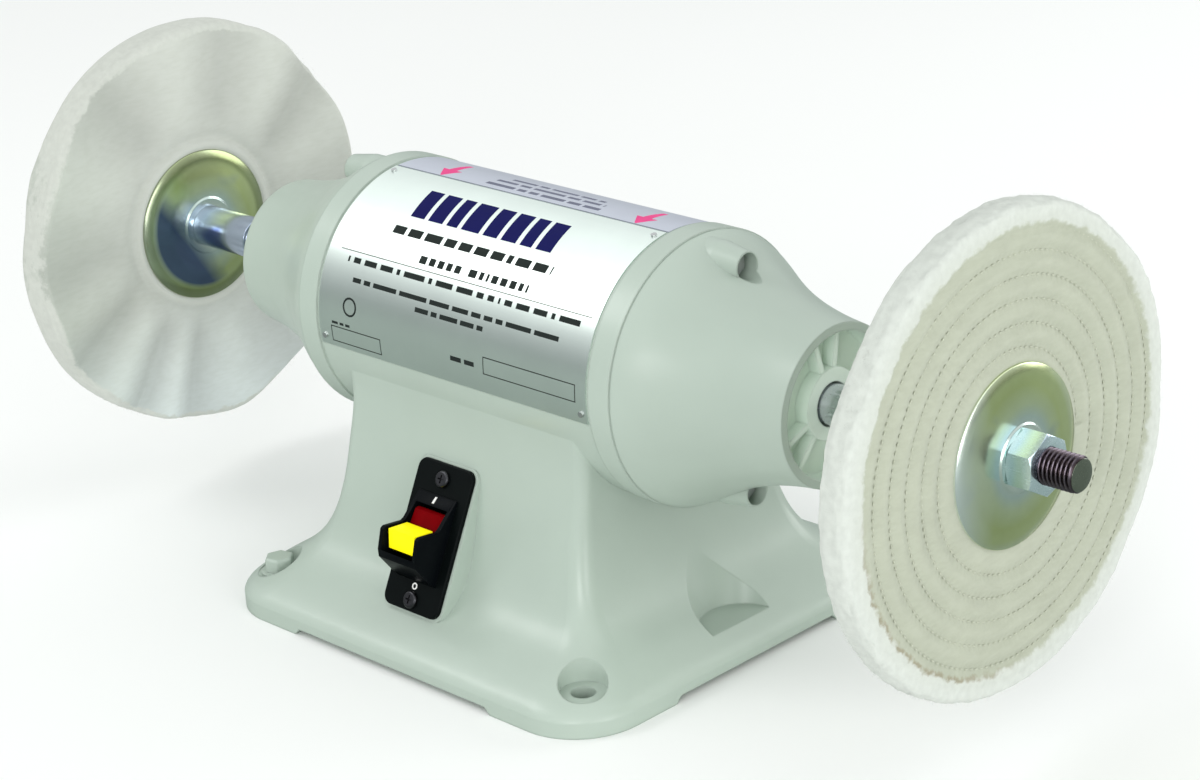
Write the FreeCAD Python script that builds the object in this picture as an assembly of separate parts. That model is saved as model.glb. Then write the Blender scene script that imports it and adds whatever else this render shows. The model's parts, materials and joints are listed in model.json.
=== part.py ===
"""Double-spindle bench grinder carrying two cloth buffs.

Frame: X along the spindle, -Y to the operator, +Z up. The origin is the centre of the base at the
level of its four pads. Lengths are in millimetres.
"""
import FreeCAD, Part
import math
import os

V = FreeCAD.Vector
AXIS_X = V(1, 0, 0)
AXIS_Y = V(0, 1, 0)
AXIS_Z = V(0, 0, 1)
SIDES = {"right": 1, "left": -1}

# spindle and wheels
SPINDLE_Z = 164.0
SPINDLE_END = 364.5
THREAD_R = 9.525
NECK_R = 11.0
JOURNAL_R = 12.5
ROTOR_SEAT_R = 14.0
SHOULDER_X = 252.0
WHEEL_X = 315.5
WHEEL_R = 127.0
WHEEL_HALF = {"right": 8.5, "left": 13.0}
CLAMP_HALF = 8.0
FLANGE_R = 47.0
FLANGE_SHEET = 2.2
FLANGE_DISH = 6.5
FLANGE_HUB_R = 17.0
SLEEVE_R = 12.7
NUT_AF = 28.6
NUT_THICK = 15.0

# barrel and bells
BARREL_R = 76.0
BARREL_FACE_R = 75.0
BARREL_BORE_R = 69.0
BARREL_HALF = 123.0
BAND_START = 108.0
BELL_END = 213.0
BELL_PROFILE = [
    (123.0, 75.4),
    (131.0, 72.0),
    (141.0, 66.4),
    (156.0, 58.6),
    (176.0, 51.0),
    (196.0, 46.3),
    (213.0, 44.0),
]
SPIGOT_DEPTH = 6.0
SPIGOT_WALL = 6.0
HUB_FLOOR_X = 201.0
HUB_RIM = 4.5
HUB_BOSS_X = 209.0
HUB_BOSS_R = 20.0
RIB_ANGLES = [-10.0, 17.0, 110.0, 137.0, 230.0, 257.0]
RIB_THICK = 3.4
RIB_END_X = 208.0
TIE_R = 63.0
TIE_SEAT_X = 143.0
TIE_BOSS_R = 11.0
TIE_BOSS_X = 137.0
TIE_NOSE_R = 8.2
TIE_NOSE_LONG = 17.0
TIE_POCKET_R = 7.4
TIE_SHANK_R = 3.0
TIE_HEAD_AF = 10.0

# ball bearing, 25 x 52 x 15
BEARING_OUT_R = 26.0
BEARING_START = 182.0
BEARING_WIDTH = 15.0
BALL_R = 3.97
BALL_PITCH_R = 19.25
BALL_COUNT = 9
GROOVE_R = 4.10
RACE_OUT_R = 22.0
RACE_IN_R = 16.5

# motor core
STATOR_R = 58.0
STATOR_BORE_R = 40.0
ROTOR_R = 39.5
CORE_HALF = 42.0
SLOT_COUNT = 24
WINDING_END = 74.0

# base casting: height, half length, half width, corner radius
PEDESTAL = [
    (9.0, 149.7, 135.8, 40.0),
    (13.0, 147.5, 133.5, 39.0),
    (17.0, 142.5, 128.5, 37.0),
    (22.0, 135.0, 119.0, 32.0),
    (28.0, 126.0, 106.5, 25.0),
    (38.0, 113.5, 93.5, 17.0),
    (52.0, 104.5, 85.5, 12.0),
    (73.0, 98.5, 79.5, 10.0),
    (92.0, 96.0, 75.0, 8.0),
    (110.0, 94.5, 71.0, 7.0),
    (128.0, 93.5, 69.5, 6.5),
    (150.0, 93.0, 72.0, 6.0),
]
CAVITY = [
    (-1.0, 96.0, 84.0, 12.0),
    (36.0, 96.0, 84.0, 12.0),
    (55.0, 95.0, 78.0, 12.0),
    (73.0, 91.5, 73.5, 10.0),
    (92.0, 89.5, 69.0, 8.0),
    (110.0, 87.0, 64.0, 6.0),
    (126.0, 86.0, 62.0, 5.0),
]
SKIRT_RAISE = 3.8
PAD_X = 80.0
PAD_Y = 65.0
MOUNT_X = 124.0
MOUNT_Y = 108.0
MOUNT_R = 6.75
SPOT_R = 13.0
SPOT_TOP_R = 14.5
SPOT_TOP = 45.0
SPOT_Z = 16.5

# shallow scoop in the right flank of the base
SCOOP_X = 137.0
SCOOP_R = 22.5
SCOOP_TOP_R = 33.4
SCOOP_Z = 20.0
SCOOP_TOP = 54.0

# nameplate and strip: angles are measured from the front (-Y) upwards
PLATE_HALF = 106.0
PLATE_THICK = 0.6
PLATE_LOW = -9.0
PLATE_HIGH = 83.0
STRIP_THICK = 0.3
STRIP_LOW = 84.0
STRIP_HIGH = 112.0
PIN_R = 1.7

# switch: local x across, u up the sloped face, n out of it
SWITCH_X = -6.0
SWITCH_Y = -92.5
SWITCH_Z = 64.0
SWITCH_TILT = 26.5
SWITCH_W = 44.0
SWITCH_H = 84.0
SWITCH_PLATE = 2.5
SWITCH_PAD = 14.0
OPENING_HALF = 12.6
GUARD_HALF = 15.2
SCREW_U = (33.0, -35.5)
PIVOT_R = 1.5
PIVOT_HALF = 14.5
PIVOT_U = 2.0
PIVOT_N = -4.0
NOSE_U = 4.0
NOSE_N = 7.5
NOSE_DIR = (-0.371, 0.9286)
NOSE_LONG = 13.5

# bottom cover and what stands on it
COVER_Z = 6.0
COVER_THICK = 2.0
COVER_TOP = COVER_Z + COVER_THICK
POST_X = 88.0
POST_Y = 76.0
POST_R = 8.0
COVER_SCREW_R = 2.5
GLAND_X = 45.0
GLAND_Z = 52.0
GLAND_FACE = 105.0
GLAND_R = 9.0
GLAND_HOLE_R = 4.6
GROMMET_X = 85.0
GROMMET_R = 8.0
CAP_R = 22.0
CAP_Y = 24.0
CAP_Z = COVER_TOP + CAP_R + 2.0
CAP_LONG = 92.0
BLOCK_X = (-84.0, -60.0)
RIB_Y = (-29, -18, -7, 4, 15, 25)
TERMINAL_X = -72.0
TERMINAL_Y = (-23.5, -12.5, -1.5, 9.5, 20.0)
TERMINAL_R = 2.0


def save(shape, node):
    shape.exportStep("parts/" + node + ".step")


def joined(solids):
    shape = solids[0].multiFuse(solids[1:]) if len(solids) > 1 else solids[0]
    return shape.removeSplitter()


def cylinder_x(radius, start, end, y=0.0, z=SPINDLE_Z):
    low, high = min(start, end), max(start, end)
    return Part.makeCylinder(radius, high - low, V(low, y, z), AXIS_X)


def ring_x(outer, inner, start, end):
    low, high = min(start, end), max(start, end)
    return cylinder_x(outer, start, end).cut(cylinder_x(inner, low - 1, high + 1))


def box(x0, x1, y0, y1, z0, z1):
    return Part.makeBox(x1 - x0, y1 - y0, z1 - z0, V(x0, y0, z0))


def turned(points, side=1):
    """Solid of revolution about the spindle from (x, r) points."""
    wire = Part.makePolygon([V(side * x, 0, SPINDLE_Z + r) for x, r in points + points[:1]])
    return Part.Face(wire).revolve(V(0, 0, SPINDLE_Z), AXIS_X, 360)


def around(shape, angle):
    """A copy turned about the spindle by an angle in degrees."""
    copy = shape.copy()
    copy.rotate(V(0, 0, SPINDLE_Z), AXIS_X, angle)
    return copy


def rounded_rectangle(z, half_x, half_y, radius):
    """Closed wire of four lines and four arcs at one height."""
    edges = []
    corners = [(1, -1), (1, 1), (-1, 1), (-1, -1)]
    diagonal = radius * (1 - math.sqrt(0.5))
    for i, (sx, sy) in enumerate(corners):
        along_y = V(sx * (half_x - radius), sy * half_y, z)
        along_x = V(sx * half_x, sy * (half_y - radius), z)
        middle = V(sx * (half_x - diagonal), sy * (half_y - diagonal), z)
        first, last = (along_y, along_x) if i % 2 == 0 else (along_x, along_y)
        edges.append(Part.Arc(first, middle, last).toShape())
        nx, ny = corners[(i + 1) % 4]
        if i % 2 == 0:
            following = V(nx * half_x, ny * (half_y - radius), z)
        else:
            following = V(nx * (half_x - radius), ny * half_y, z)
        edges.append(Part.makeLine(last, following))
    return Part.Wire(edges)


def section_loft(sections, ruled):
    return Part.makeLoft([rounded_rectangle(*section) for section in sections], True, ruled)


def switch_placed(shape):
    """Moves a shape from the switch's own x, u, n axes onto the sloped face."""
    placed = shape.copy()
    placed.rotate(V(0, 0, 0), AXIS_X, 90 - SWITCH_TILT)
    placed.translate(V(SWITCH_X, SWITCH_Y, SWITCH_Z))
    return placed


def extruded_x(points, half):
    """Prism across x from (u, n) points, centred on x = 0."""
    wire = Part.makePolygon([V(-half, u, n) for u, n in points + points[:1]])
    return Part.Face(wire).extrude(V(2 * half, 0, 0))


def rounded_plate(half_x, half_y, radius, z0, z1):
    wire = rounded_rectangle(z0, half_x, half_y, radius)
    return Part.Face(wire).extrude(V(0, 0, z1 - z0))


def nose_point(along, down):
    """A point on the paddle's nose: distance out along it, and depth below its top face."""
    du, dn = NOSE_DIR
    return (NOSE_U + du * along - dn * down, NOSE_N + dn * along + du * down)


def nose_block(start, end, top, bottom, half):
    """A block along the paddle's nose, from start to end and between two depths below its top face."""
    corners = [nose_point(start, top), nose_point(end, top), nose_point(end, bottom), nose_point(start, bottom)]
    return extruded_x(corners, half)


# ---------------------------------------------------------------- housing

def pedestal():
    skirt = Part.Face(rounded_rectangle(0.0, *PEDESTAL[0][1:])).extrude(V(0, 0, PEDESTAL[0][0]))
    body = skirt.fuse(section_loft(PEDESTAL, False))
    body = body.cut(section_loft(CAVITY, True))
    for length, across, half in ((AXIS_Y, AXIS_X, PAD_X), (AXIS_X, AXIS_Y, PAD_Y)):
        top = half - SKIRT_RAISE
        wall = [(-half, -1.0), (half, -1.0), (half, 0.0), (top, SKIRT_RAISE), (-top, SKIRT_RAISE), (-half, 0.0)]
        wire = Part.makePolygon([across * a + AXIS_Z * z - length * 200 for a, z in wall + wall[:1]])
        body = body.cut(Part.Face(wire).extrude(length * 400))
    return body


def barrel():
    tube = cylinder_x(BARREL_R, -BARREL_HALF, BARREL_HALF)
    return tube.cut(ring_x(BARREL_R + 2, BARREL_FACE_R, -BAND_START, BAND_START))


def stator_seats():
    ring = ring_x(BARREL_BORE_R + 1, STATOR_R, -CORE_HALF, CORE_HALF)
    slab = box(-CORE_HALF, CORE_HALF, -9, 9, SPINDLE_Z, SPINDLE_Z + BARREL_BORE_R + 1)
    return [around(slab.common(ring), 45 + 90 * i) for i in range(4)]


def switch_pad():
    half_x, half_u = SWITCH_W / 2 + 1.5, SWITCH_H / 2 + 1.5
    pad = rounded_plate(half_x, half_u, 6, -SWITCH_PAD, 0)
    clear = rounded_plate(half_x, half_u, 6, 0, 30)
    return switch_placed(pad), switch_placed(clear)


def housing():
    pad, clear = switch_pad()
    shell = pedestal().fuse(pad).cut(clear)
    for sx in (1, -1):
        for sy in (1, -1):
            post = Part.makeCylinder(POST_R, 34, V(sx * POST_X, sy * POST_Y, COVER_TOP), AXIS_Z)
            shell = shell.fuse(post)
    gland_boss = Part.makeCylinder(15, 23, V(GLAND_X, GLAND_FACE - 23, GLAND_Z), AXIS_Y)
    shell = shell.fuse(gland_boss).fuse(barrel())
    shell = shell.cut(cylinder_x(BARREL_BORE_R, -BARREL_HALF - 1, BARREL_HALF + 1))
    shell = shell.multiFuse(stator_seats())
    for sx in (1, -1):
        for sy in (1, -1):
            x, y = sx * MOUNT_X, sy * MOUNT_Y
            spot = Part.makeCone(SPOT_R, SPOT_TOP_R, SPOT_TOP - SPOT_Z, V(x, y, SPOT_Z), AXIS_Z)
            shell = shell.cut(spot)
            shell = shell.cut(Part.makeCylinder(MOUNT_R, 30, V(x, y, -1), AXIS_Z))
            shell = shell.cut(Part.makeCylinder(COVER_SCREW_R, 22, V(sx * POST_X, sy * POST_Y, 0), AXIS_Z))
    scoop = Part.makeCone(SCOOP_R, SCOOP_TOP_R, SCOOP_TOP - SCOOP_Z, V(SCOOP_X, 0, SCOOP_Z), AXIS_Z)
    shell = shell.cut(scoop)
    shell = shell.cut(Part.makeCylinder(GLAND_R, 40, V(GLAND_X, GLAND_FACE - 30, GLAND_Z), AXIS_Y))
    shell = shell.cut(switch_placed(box(-15.5, 15.5, -23.5, 24.5, -40, 1)))
    for u in SCREW_U:
        shell = shell.cut(switch_placed(Part.makeCylinder(2.0, 12, V(0, u, -10), AXIS_Z)))
    shell = shell.cut(Part.makeCylinder(GROMMET_R, 20, V(GROMMET_X, 0, 82), AXIS_Z))
    for pin in nameplate_pins():
        shell = shell.cut(pin)
    return shell.removeSplitter()


# ---------------------------------------------------------------- end bells

def bell_envelope(side):
    curve = Part.BSplineCurve()
    curve.interpolate([V(side * x, 0, SPINDLE_Z + r) for x, r in BELL_PROFILE])
    end_x, end_r = BELL_PROFILE[-1]
    start_x, start_r = BELL_PROFILE[0]
    corners = [V(side * end_x, 0, SPINDLE_Z + end_r), V(side * end_x, 0, SPINDLE_Z),
               V(side * start_x, 0, SPINDLE_Z), V(side * start_x, 0, SPINDLE_Z + start_r)]
    edges = [curve.toShape()] + [Part.makeLine(corners[i], corners[i + 1]) for i in range(3)]
    return Part.Face(Part.Wire(edges)).revolve(V(0, 0, SPINDLE_Z), AXIS_X, 360)


def end_bell(side):
    spigot_x = BARREL_HALF - SPIGOT_DEPTH
    spigot_r = BARREL_BORE_R - SPIGOT_WALL
    body = bell_envelope(side).fuse(ring_x(BARREL_BORE_R, spigot_r, side * spigot_x, side * (BARREL_HALF + 1)))
    seat_end = BEARING_START + BEARING_WIDTH
    bell_inside = [(BARREL_HALF - 1, 0), (BARREL_HALF - 1, spigot_r), (128, spigot_r), (141, 59.5), (158, 50.5),
                   (172, 43.5), (180, 34), (BEARING_START, 34)]
    seat_inside = [(BEARING_START, BEARING_OUT_R), (seat_end, BEARING_OUT_R), (seat_end, 22), (seat_end + 1.5, 22),
                   (seat_end + 1.5, NECK_R + 1), (BELL_END + 1, NECK_R + 1), (BELL_END + 1, 0)]
    rim_r = BELL_PROFILE[-1][1] - HUB_RIM
    hub = [(BELL_END + 1, HUB_BOSS_R - 0.5), (HUB_BOSS_X, HUB_BOSS_R - 0.5), (HUB_FLOOR_X, HUB_BOSS_R),
           (HUB_FLOOR_X, rim_r - 1), (BELL_END + 1, rim_r)]
    body = body.cut(turned(bell_inside + seat_inside, side)).cut(turned(hub, side))
    body = body.cut(ring_x(HUB_BOSS_R, NECK_R, side * HUB_BOSS_X, side * (BELL_END + 1)))
    x0, x1 = sorted((side * HUB_FLOOR_X, side * RIB_END_X))
    rib = box(x0, x1, -RIB_THICK / 2, RIB_THICK / 2, SPINDLE_Z + HUB_BOSS_R - 1, SPINDLE_Z + rim_r + 0.5)
    body = body.multiFuse([around(rib, angle) for angle in RIB_ANGLES])
    for half_turn in (0, 180):
        outer_boss = cylinder_x(TIE_BOSS_R, side * BARREL_HALF, side * TIE_BOSS_X, 0, SPINDLE_Z + TIE_R)
        nose_base = V(side * TIE_BOSS_X, 0, SPINDLE_Z + TIE_R)
        nose = Part.makeCone(TIE_BOSS_R, TIE_NOSE_R, TIE_NOSE_LONG, nose_base, AXIS_X * side)
        outer_boss = outer_boss.fuse(nose)
        inner_boss = cylinder_x(TIE_BOSS_R, side * BARREL_HALF, side * 172, 0, SPINDLE_Z + TIE_R)
        inner_boss = inner_boss.common(bell_envelope(side))
        body = body.fuse(around(outer_boss, half_turn)).fuse(around(inner_boss, half_turn))
    for half_turn in (0, 180):
        pocket = cylinder_x(TIE_POCKET_R, side * TIE_SEAT_X, side * 185, 0, SPINDLE_Z + TIE_R)
        hole = cylinder_x(TIE_SHANK_R + 0.3, side * 110, side * 150, 0, SPINDLE_Z + TIE_R)
        body = body.cut(around(pocket, half_turn)).cut(around(hole, half_turn))
    return body.removeSplitter()


def hexagon_x(across_flats, start, end, y, z):
    corner = across_flats / math.sqrt(3)
    points = [V(start, y + corner * math.sin(math.radians(60 * i)), z + corner * math.cos(math.radians(60 * i)))
              for i in range(7)]
    return Part.Face(Part.makePolygon(points)).extrude(V(end - start, 0, 0))


def tie_bolts():
    bolts = []
    for half_turn in (0, 180):
        z = SPINDLE_Z + TIE_R
        shank = cylinder_x(TIE_SHANK_R, -TIE_SEAT_X - 8.5, TIE_SEAT_X, 0, z)
        head = hexagon_x(TIE_HEAD_AF, TIE_SEAT_X, TIE_SEAT_X + 4.5, 0, z)
        bolts.append(around(shank.fuse(head), half_turn))
    return Part.makeCompound(bolts)


def tie_nuts():
    nuts = []
    for half_turn in (0, 180):
        z = SPINDLE_Z + TIE_R
        nut = hexagon_x(TIE_HEAD_AF, -TIE_SEAT_X, -TIE_SEAT_X - 5.0, 0, z)
        nut = nut.cut(cylinder_x(TIE_SHANK_R, -TIE_SEAT_X - 20, -TIE_SEAT_X + 5, 0, z))
        nuts.append(around(nut, half_turn))
    return Part.makeCompound(nuts)


# ---------------------------------------------------------------- nameplate and strip

def curved_sheet(low, high, thick):
    """A sheet wrapped on the barrel between two angles, measured from the front upwards."""
    span = high - low
    points = [V(-PLATE_HALF, -BARREL_FACE_R, SPINDLE_Z), V(-PLATE_HALF, -BARREL_FACE_R - thick, SPINDLE_Z),
              V(PLATE_HALF, -BARREL_FACE_R - thick, SPINDLE_Z), V(PLATE_HALF, -BARREL_FACE_R, SPINDLE_Z)]
    face = Part.Face(Part.makePolygon(points + points[:1]))
    sheet = face.revolve(V(0, 0, SPINDLE_Z), AXIS_X * -1, span)
    return around(sheet, -low)


def nameplate_pins():
    pins = []
    for x in (-PLATE_HALF + 4, PLATE_HALF - 4):
        for angle in (PLATE_LOW + 4, PLATE_HIGH - 4):
            outside = -BARREL_FACE_R - PLATE_THICK
            shank = Part.makeCylinder(PIN_R * 0.7, 4.3, V(x, outside - 0.5, SPINDLE_Z), AXIS_Y)
            head = Part.makeCylinder(PIN_R, 0.9, V(x, outside - 0.9, SPINDLE_Z), AXIS_Y)
            pins.append(around(shank.fuse(head).removeSplitter(), -angle))
    return pins


def nameplate():
    sheet = curved_sheet(PLATE_LOW, PLATE_HIGH, PLATE_THICK)
    for pin in nameplate_pins():
        sheet = sheet.cut(pin)
    return sheet


# ---------------------------------------------------------------- motor core

def stator_core():
    core = ring_x(STATOR_R, STATOR_BORE_R, -CORE_HALF, CORE_HALF)
    end = CORE_HALF + 1
    bore_z = SPINDLE_Z + STATOR_BORE_R
    slot = box(-end, end, -1.6, 1.6, bore_z + 2, SPINDLE_Z + STATOR_R - 6)
    mouth = box(-end, end, -0.8, 0.8, bore_z - 2, bore_z + 3)
    slots = [around(slot.fuse(mouth), i * 360.0 / SLOT_COUNT) for i in range(SLOT_COUNT)]
    return core.cut(Part.makeCompound(slots))


def stator_windings():
    coils = []
    for side in SIDES.values():
        coil = ring_x(STATOR_R - 3, STATOR_BORE_R + 2, side * CORE_HALF, side * WINDING_END)
        far = [edge for edge in coil.Edges if abs(edge.BoundBox.XMin - side * WINDING_END) < 0.01
               and abs(edge.BoundBox.XMax - side * WINDING_END) < 0.01]
        coils.append(coil.makeFillet(4.5, far))
    return Part.makeCompound(coils)


def rotor_core():
    return ring_x(ROTOR_R, ROTOR_SEAT_R, -CORE_HALF, CORE_HALF)


def rotor_cage():
    rings = []
    for side in SIDES.values():
        ring = ring_x(ROTOR_R - 1, 27, side * CORE_HALF, side * (CORE_HALF + 8))
        x0, x1 = sorted((side * (CORE_HALF + 7), side * (CORE_HALF + 17)))
        blade = box(x0, x1, -1.2, 1.2, SPINDLE_Z + 28, SPINDLE_Z + ROTOR_R - 2)
        rings.append(ring.multiFuse([around(blade, 36 * i) for i in range(10)]))
    return Part.makeCompound(rings)


def shaft():
    journal_end = BEARING_START + BEARING_WIDTH + 1
    half = [(0, ROTOR_SEAT_R), (BEARING_START, ROTOR_SEAT_R), (BEARING_START, JOURNAL_R), (journal_end, JOURNAL_R),
            (journal_end, NECK_R), (SHOULDER_X, NECK_R), (SHOULDER_X, THREAD_R), (SPINDLE_END - 1.4, THREAD_R),
            (SPINDLE_END, THREAD_R - 1.4)]
    mirrored = [(-x, r) for x, r in reversed(half[1:])]
    outline = [(-SPINDLE_END, 0)] + mirrored + half[1:] + [(SPINDLE_END, 0)]
    return turned(outline)


# ---------------------------------------------------------------- bearings

def groove(side):
    x = side * (BEARING_START + BEARING_WIDTH / 2)
    return Part.makeTorus(BALL_PITCH_R, GROOVE_R, V(x, 0, SPINDLE_Z), AXIS_X)


def bearing_outer(side):
    ring = ring_x(BEARING_OUT_R, RACE_OUT_R, side * BEARING_START, side * (BEARING_START + BEARING_WIDTH))
    return ring.cut(groove(side))


def bearing_inner(side):
    ring = ring_x(RACE_IN_R, JOURNAL_R, side * BEARING_START, side * (BEARING_START + BEARING_WIDTH))
    return ring.cut(groove(side))


def bearing_balls(side):
    x = side * (BEARING_START + BEARING_WIDTH / 2)
    ball = Part.makeSphere(BALL_R, V(x, 0, SPINDLE_Z + BALL_PITCH_R))
    return [around(ball, i * 360.0 / BALL_COUNT) for i in range(BALL_COUNT)]


def ball_cage(side):
    x = side * (BEARING_START + BEARING_WIDTH / 2)
    ring = ring_x(BALL_PITCH_R + 1.2, BALL_PITCH_R - 1.2, x - 5.2, x + 5.2)
    return ring.cut(Part.makeCompound(bearing_balls(side)))


def wave_washer():
    start = -BEARING_START
    return ring_x(BEARING_OUT_R - 0.5, 22.5, start, start + 1.2)


# ---------------------------------------------------------------- spindle fittings

def spacer_sleeve(side):
    return ring_x(SLEEVE_R, THREAD_R, side * SHOULDER_X, side * (WHEEL_X - CLAMP_HALF - FLANGE_DISH))


def flange_outline():
    """Pressed steel disc as (distance from the buff's clamped face, radius) points."""
    outer = [(0.0, FLANGE_R), (FLANGE_SHEET * 0.8, FLANGE_R), (FLANGE_SHEET, FLANGE_R - 0.5), (3.2, 41.0),
             (3.9, 35.5), (4.9, 31.5), (5.4, 26.0), (5.6, FLANGE_HUB_R + 1.2), (FLANGE_DISH, FLANGE_HUB_R)]
    inner = [(FLANGE_DISH, THREAD_R), (0.0, THREAD_R), (0.0, FLANGE_HUB_R - 2), (3.2, FLANGE_HUB_R - 2),
             (3.1, 26.0), (2.7, 31.0), (1.7, 35.0), (1.0, 41.0), (0.0, 43.0)]
    return outer + inner


def flange(side, outwards):
    points = [(WHEEL_X + outwards * (CLAMP_HALF + d), r) for d, r in flange_outline()]
    return turned(points, side)


def buff(name):
    """Cloth wheel: the sewn right one is flat, the loose left one spreads towards its rim."""
    edge = WHEEL_HALF[name]
    middle = min(edge, CLAMP_HALF + 1.0)
    half = [(CLAMP_HALF, THREAD_R + 0.2), (CLAMP_HALF, FLANGE_R + 2), (middle, FLANGE_R + 10), (edge, 114.0),
            (edge - 0.9, 121.0), (edge - 2.8, 124.8), (edge - 5.5, WHEEL_R)]
    outline = [(WHEEL_X + d, r) for d, r in half] + [(WHEEL_X - d, r) for d, r in reversed(half)]
    return turned(outline, SIDES[name])


def spindle_nut(side):
    start = WHEEL_X + CLAMP_HALF + FLANGE_DISH
    end = start + NUT_THICK
    body = hexagon_x(NUT_AF, side * start, side * end, 0, SPINDLE_Z)
    corner = NUT_AF / math.sqrt(3)
    chamfer = [(start, 0), (start, NUT_AF / 2), (start + 1.2, corner), (end - 1.2, corner),
               (end, NUT_AF / 2), (end, 0)]
    return body.common(turned(chamfer, side)).cut(cylinder_x(THREAD_R, -400, 400))


# ---------------------------------------------------------------- base fittings

def bottom_cover():
    cover = rounded_plate(95.6, 83.6, 12, COVER_Z, COVER_TOP)
    for sx in (1, -1):
        for sy in (1, -1):
            cover = cover.cut(Part.makeCylinder(COVER_SCREW_R, 10, V(sx * POST_X, sy * POST_Y, 0), AXIS_Z))
    for x in (-30, 0, 30):
        for y in (-40, -30, -20):
            cover = cover.cut(rounded_vent(x, y))
    return cover


def rounded_vent(x, y):
    vent = rounded_plate(11, 2, 1.9, 0, 12)
    vent.translate(V(x, y, 0))
    return vent


def cover_screws():
    screws = []
    for sx in (1, -1):
        for sy in (1, -1):
            x, y = sx * POST_X, sy * POST_Y
            head = Part.makeCylinder(4.5, 2.6, V(x, y, COVER_Z - 2.6), AXIS_Z)
            shank = Part.makeCylinder(COVER_SCREW_R, 14, V(x, y, COVER_Z), AXIS_Z)
            slot = box(x - 5, x + 5, y - 0.5, y + 0.5, COVER_Z - 3, COVER_Z - 1.4)
            screws.append(head.fuse(shank).cut(slot))
    return Part.makeCompound(screws)


def cord_gland():
    body = Part.makeCylinder(GLAND_R, 24, V(GLAND_X, GLAND_FACE - 24, GLAND_Z), AXIS_Y)
    flange_disc = Part.makeCylinder(12.5, 3, V(GLAND_X, GLAND_FACE, GLAND_Z), AXIS_Y)
    nose = Part.makeCone(10.5, 7.5, 12, V(GLAND_X, GLAND_FACE + 3, GLAND_Z), AXIS_Y)
    hole = Part.makeCylinder(GLAND_HOLE_R, 60, V(GLAND_X, GLAND_FACE - 30, GLAND_Z), AXIS_Y)
    return body.fuse(flange_disc).fuse(nose).cut(hole).removeSplitter()


def lead_grommet():
    tube = Part.makeCylinder(GROMMET_R, 12, V(GROMMET_X, 0, 86), AXIS_Z)
    return tube.cut(Part.makeCylinder(5.0, 20, V(GROMMET_X, 0, 82), AXIS_Z))


def run_capacitor():
    can = Part.makeCylinder(CAP_R, CAP_LONG, V(-CAP_LONG / 2, CAP_Y, CAP_Z), AXIS_X)
    ends = [edge for edge in can.Edges if edge.BoundBox.XLength < 0.01]
    can = can.makeFillet(2.5, ends)
    end = CAP_LONG / 2
    tabs = [box(end, end + 8, CAP_Y + dy - 3, CAP_Y + dy + 3, CAP_Z - 0.4, CAP_Z + 0.4) for dy in (-9, 9)]
    return can.multiFuse(tabs)


def capacitor_clamp():
    band = Part.makeCylinder(CAP_R + 1.6, 16, V(-8, CAP_Y, CAP_Z), AXIS_X)
    foot = box(-8, 8, CAP_Y - CAP_R - 10, CAP_Y + CAP_R + 10, COVER_TOP, COVER_TOP + 2.0)
    body = band.fuse(foot).fuse(box(-8, 8, CAP_Y - 10, CAP_Y + 10, COVER_TOP, COVER_TOP + 6))
    return body.cut(Part.makeCylinder(CAP_R, 60, V(-30, CAP_Y, CAP_Z), AXIS_X))


def terminal_block():
    block = box(*BLOCK_X, -30, 26, COVER_TOP, COVER_TOP + 9)
    ribs = [box(*BLOCK_X, y - 0.8, y + 0.8, COVER_TOP + 8, COVER_TOP + 14) for y in RIB_Y]
    block = block.multiFuse(ribs)
    for y in TERMINAL_Y:
        block = block.cut(Part.makeCylinder(TERMINAL_R, 12, V(TERMINAL_X, y, COVER_TOP + 3), AXIS_Z))
    return block.removeSplitter()


def terminal_screws():
    screws = []
    for y in TERMINAL_Y:
        shank = Part.makeCylinder(TERMINAL_R, 6, V(TERMINAL_X, y, COVER_TOP + 3), AXIS_Z)
        head = Part.makeCylinder(TERMINAL_R + 1.4, 2.0, V(TERMINAL_X, y, COVER_TOP + 9), AXIS_Z)
        slot = box(TERMINAL_X - 4, TERMINAL_X + 4, y - 0.4, y + 0.4, COVER_TOP + 10, COVER_TOP + 12)
        screws.append(shank.fuse(head).cut(slot))
    return Part.makeCompound(screws)


# ---------------------------------------------------------------- switch

def switch_plate():
    plate = rounded_plate(SWITCH_W / 2, SWITCH_H / 2, 6, 0, SWITCH_PLATE)
    outer = [edge for edge in plate.Edges if edge.BoundBox.ZMin > SWITCH_PLATE - 0.01]
    plate = plate.makeFillet(1.0, outer)
    plate = plate.cut(box(-OPENING_HALF, OPENING_HALF, -16, 21, -1, 5))
    for u in SCREW_U:
        plate = plate.cut(Part.makeCylinder(2.0, 8, V(0, u, -2), AXIS_Z))
    return switch_placed(plate)


def switch_guard():
    low = SWITCH_PLATE
    side_view = [(24, low), (24, low + 1.0), (7, 10.0), (5.2, 11.4), (0.8, 23.6), (-1.0, 24.8), (-12.5, 22.6),
                 (-16.5, 20.4), (-22.6, 8.0), (-25, low)]
    between = extruded_x([(30, -1), (30, 40), (-40, 40), (-40, -1)], OPENING_HALF)
    cheeks = extruded_x(side_view, GUARD_HALF).cut(between)
    floor_view = [(-12.6, 22.6), (-16.5, 20.4), (-22.6, 8.0), (-25, low), (-22.2, low), (-20.0, 8.2), (-14.6, 19.0)]
    sill_view = [(24, low), (24, low + 1.0), (18.5, low + 3.4), (17.4, low + 3.4), (17.4, low)]
    sill = extruded_x(sill_view, OPENING_HALF + 1)
    return switch_placed(joined([cheeks, extruded_x(floor_view, OPENING_HALF + 1), sill]))


def switch_body():
    body = box(-15, 15, -23, 24, -26, 0)
    body = body.cut(box(-12, 12, -14, 20, -13, 1))
    body = body.cut(Part.makeCylinder(PIVOT_R, 2 * PIVOT_HALF, V(-PIVOT_HALF, PIVOT_U, PIVOT_N), AXIS_X))
    return switch_placed(body)


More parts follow.
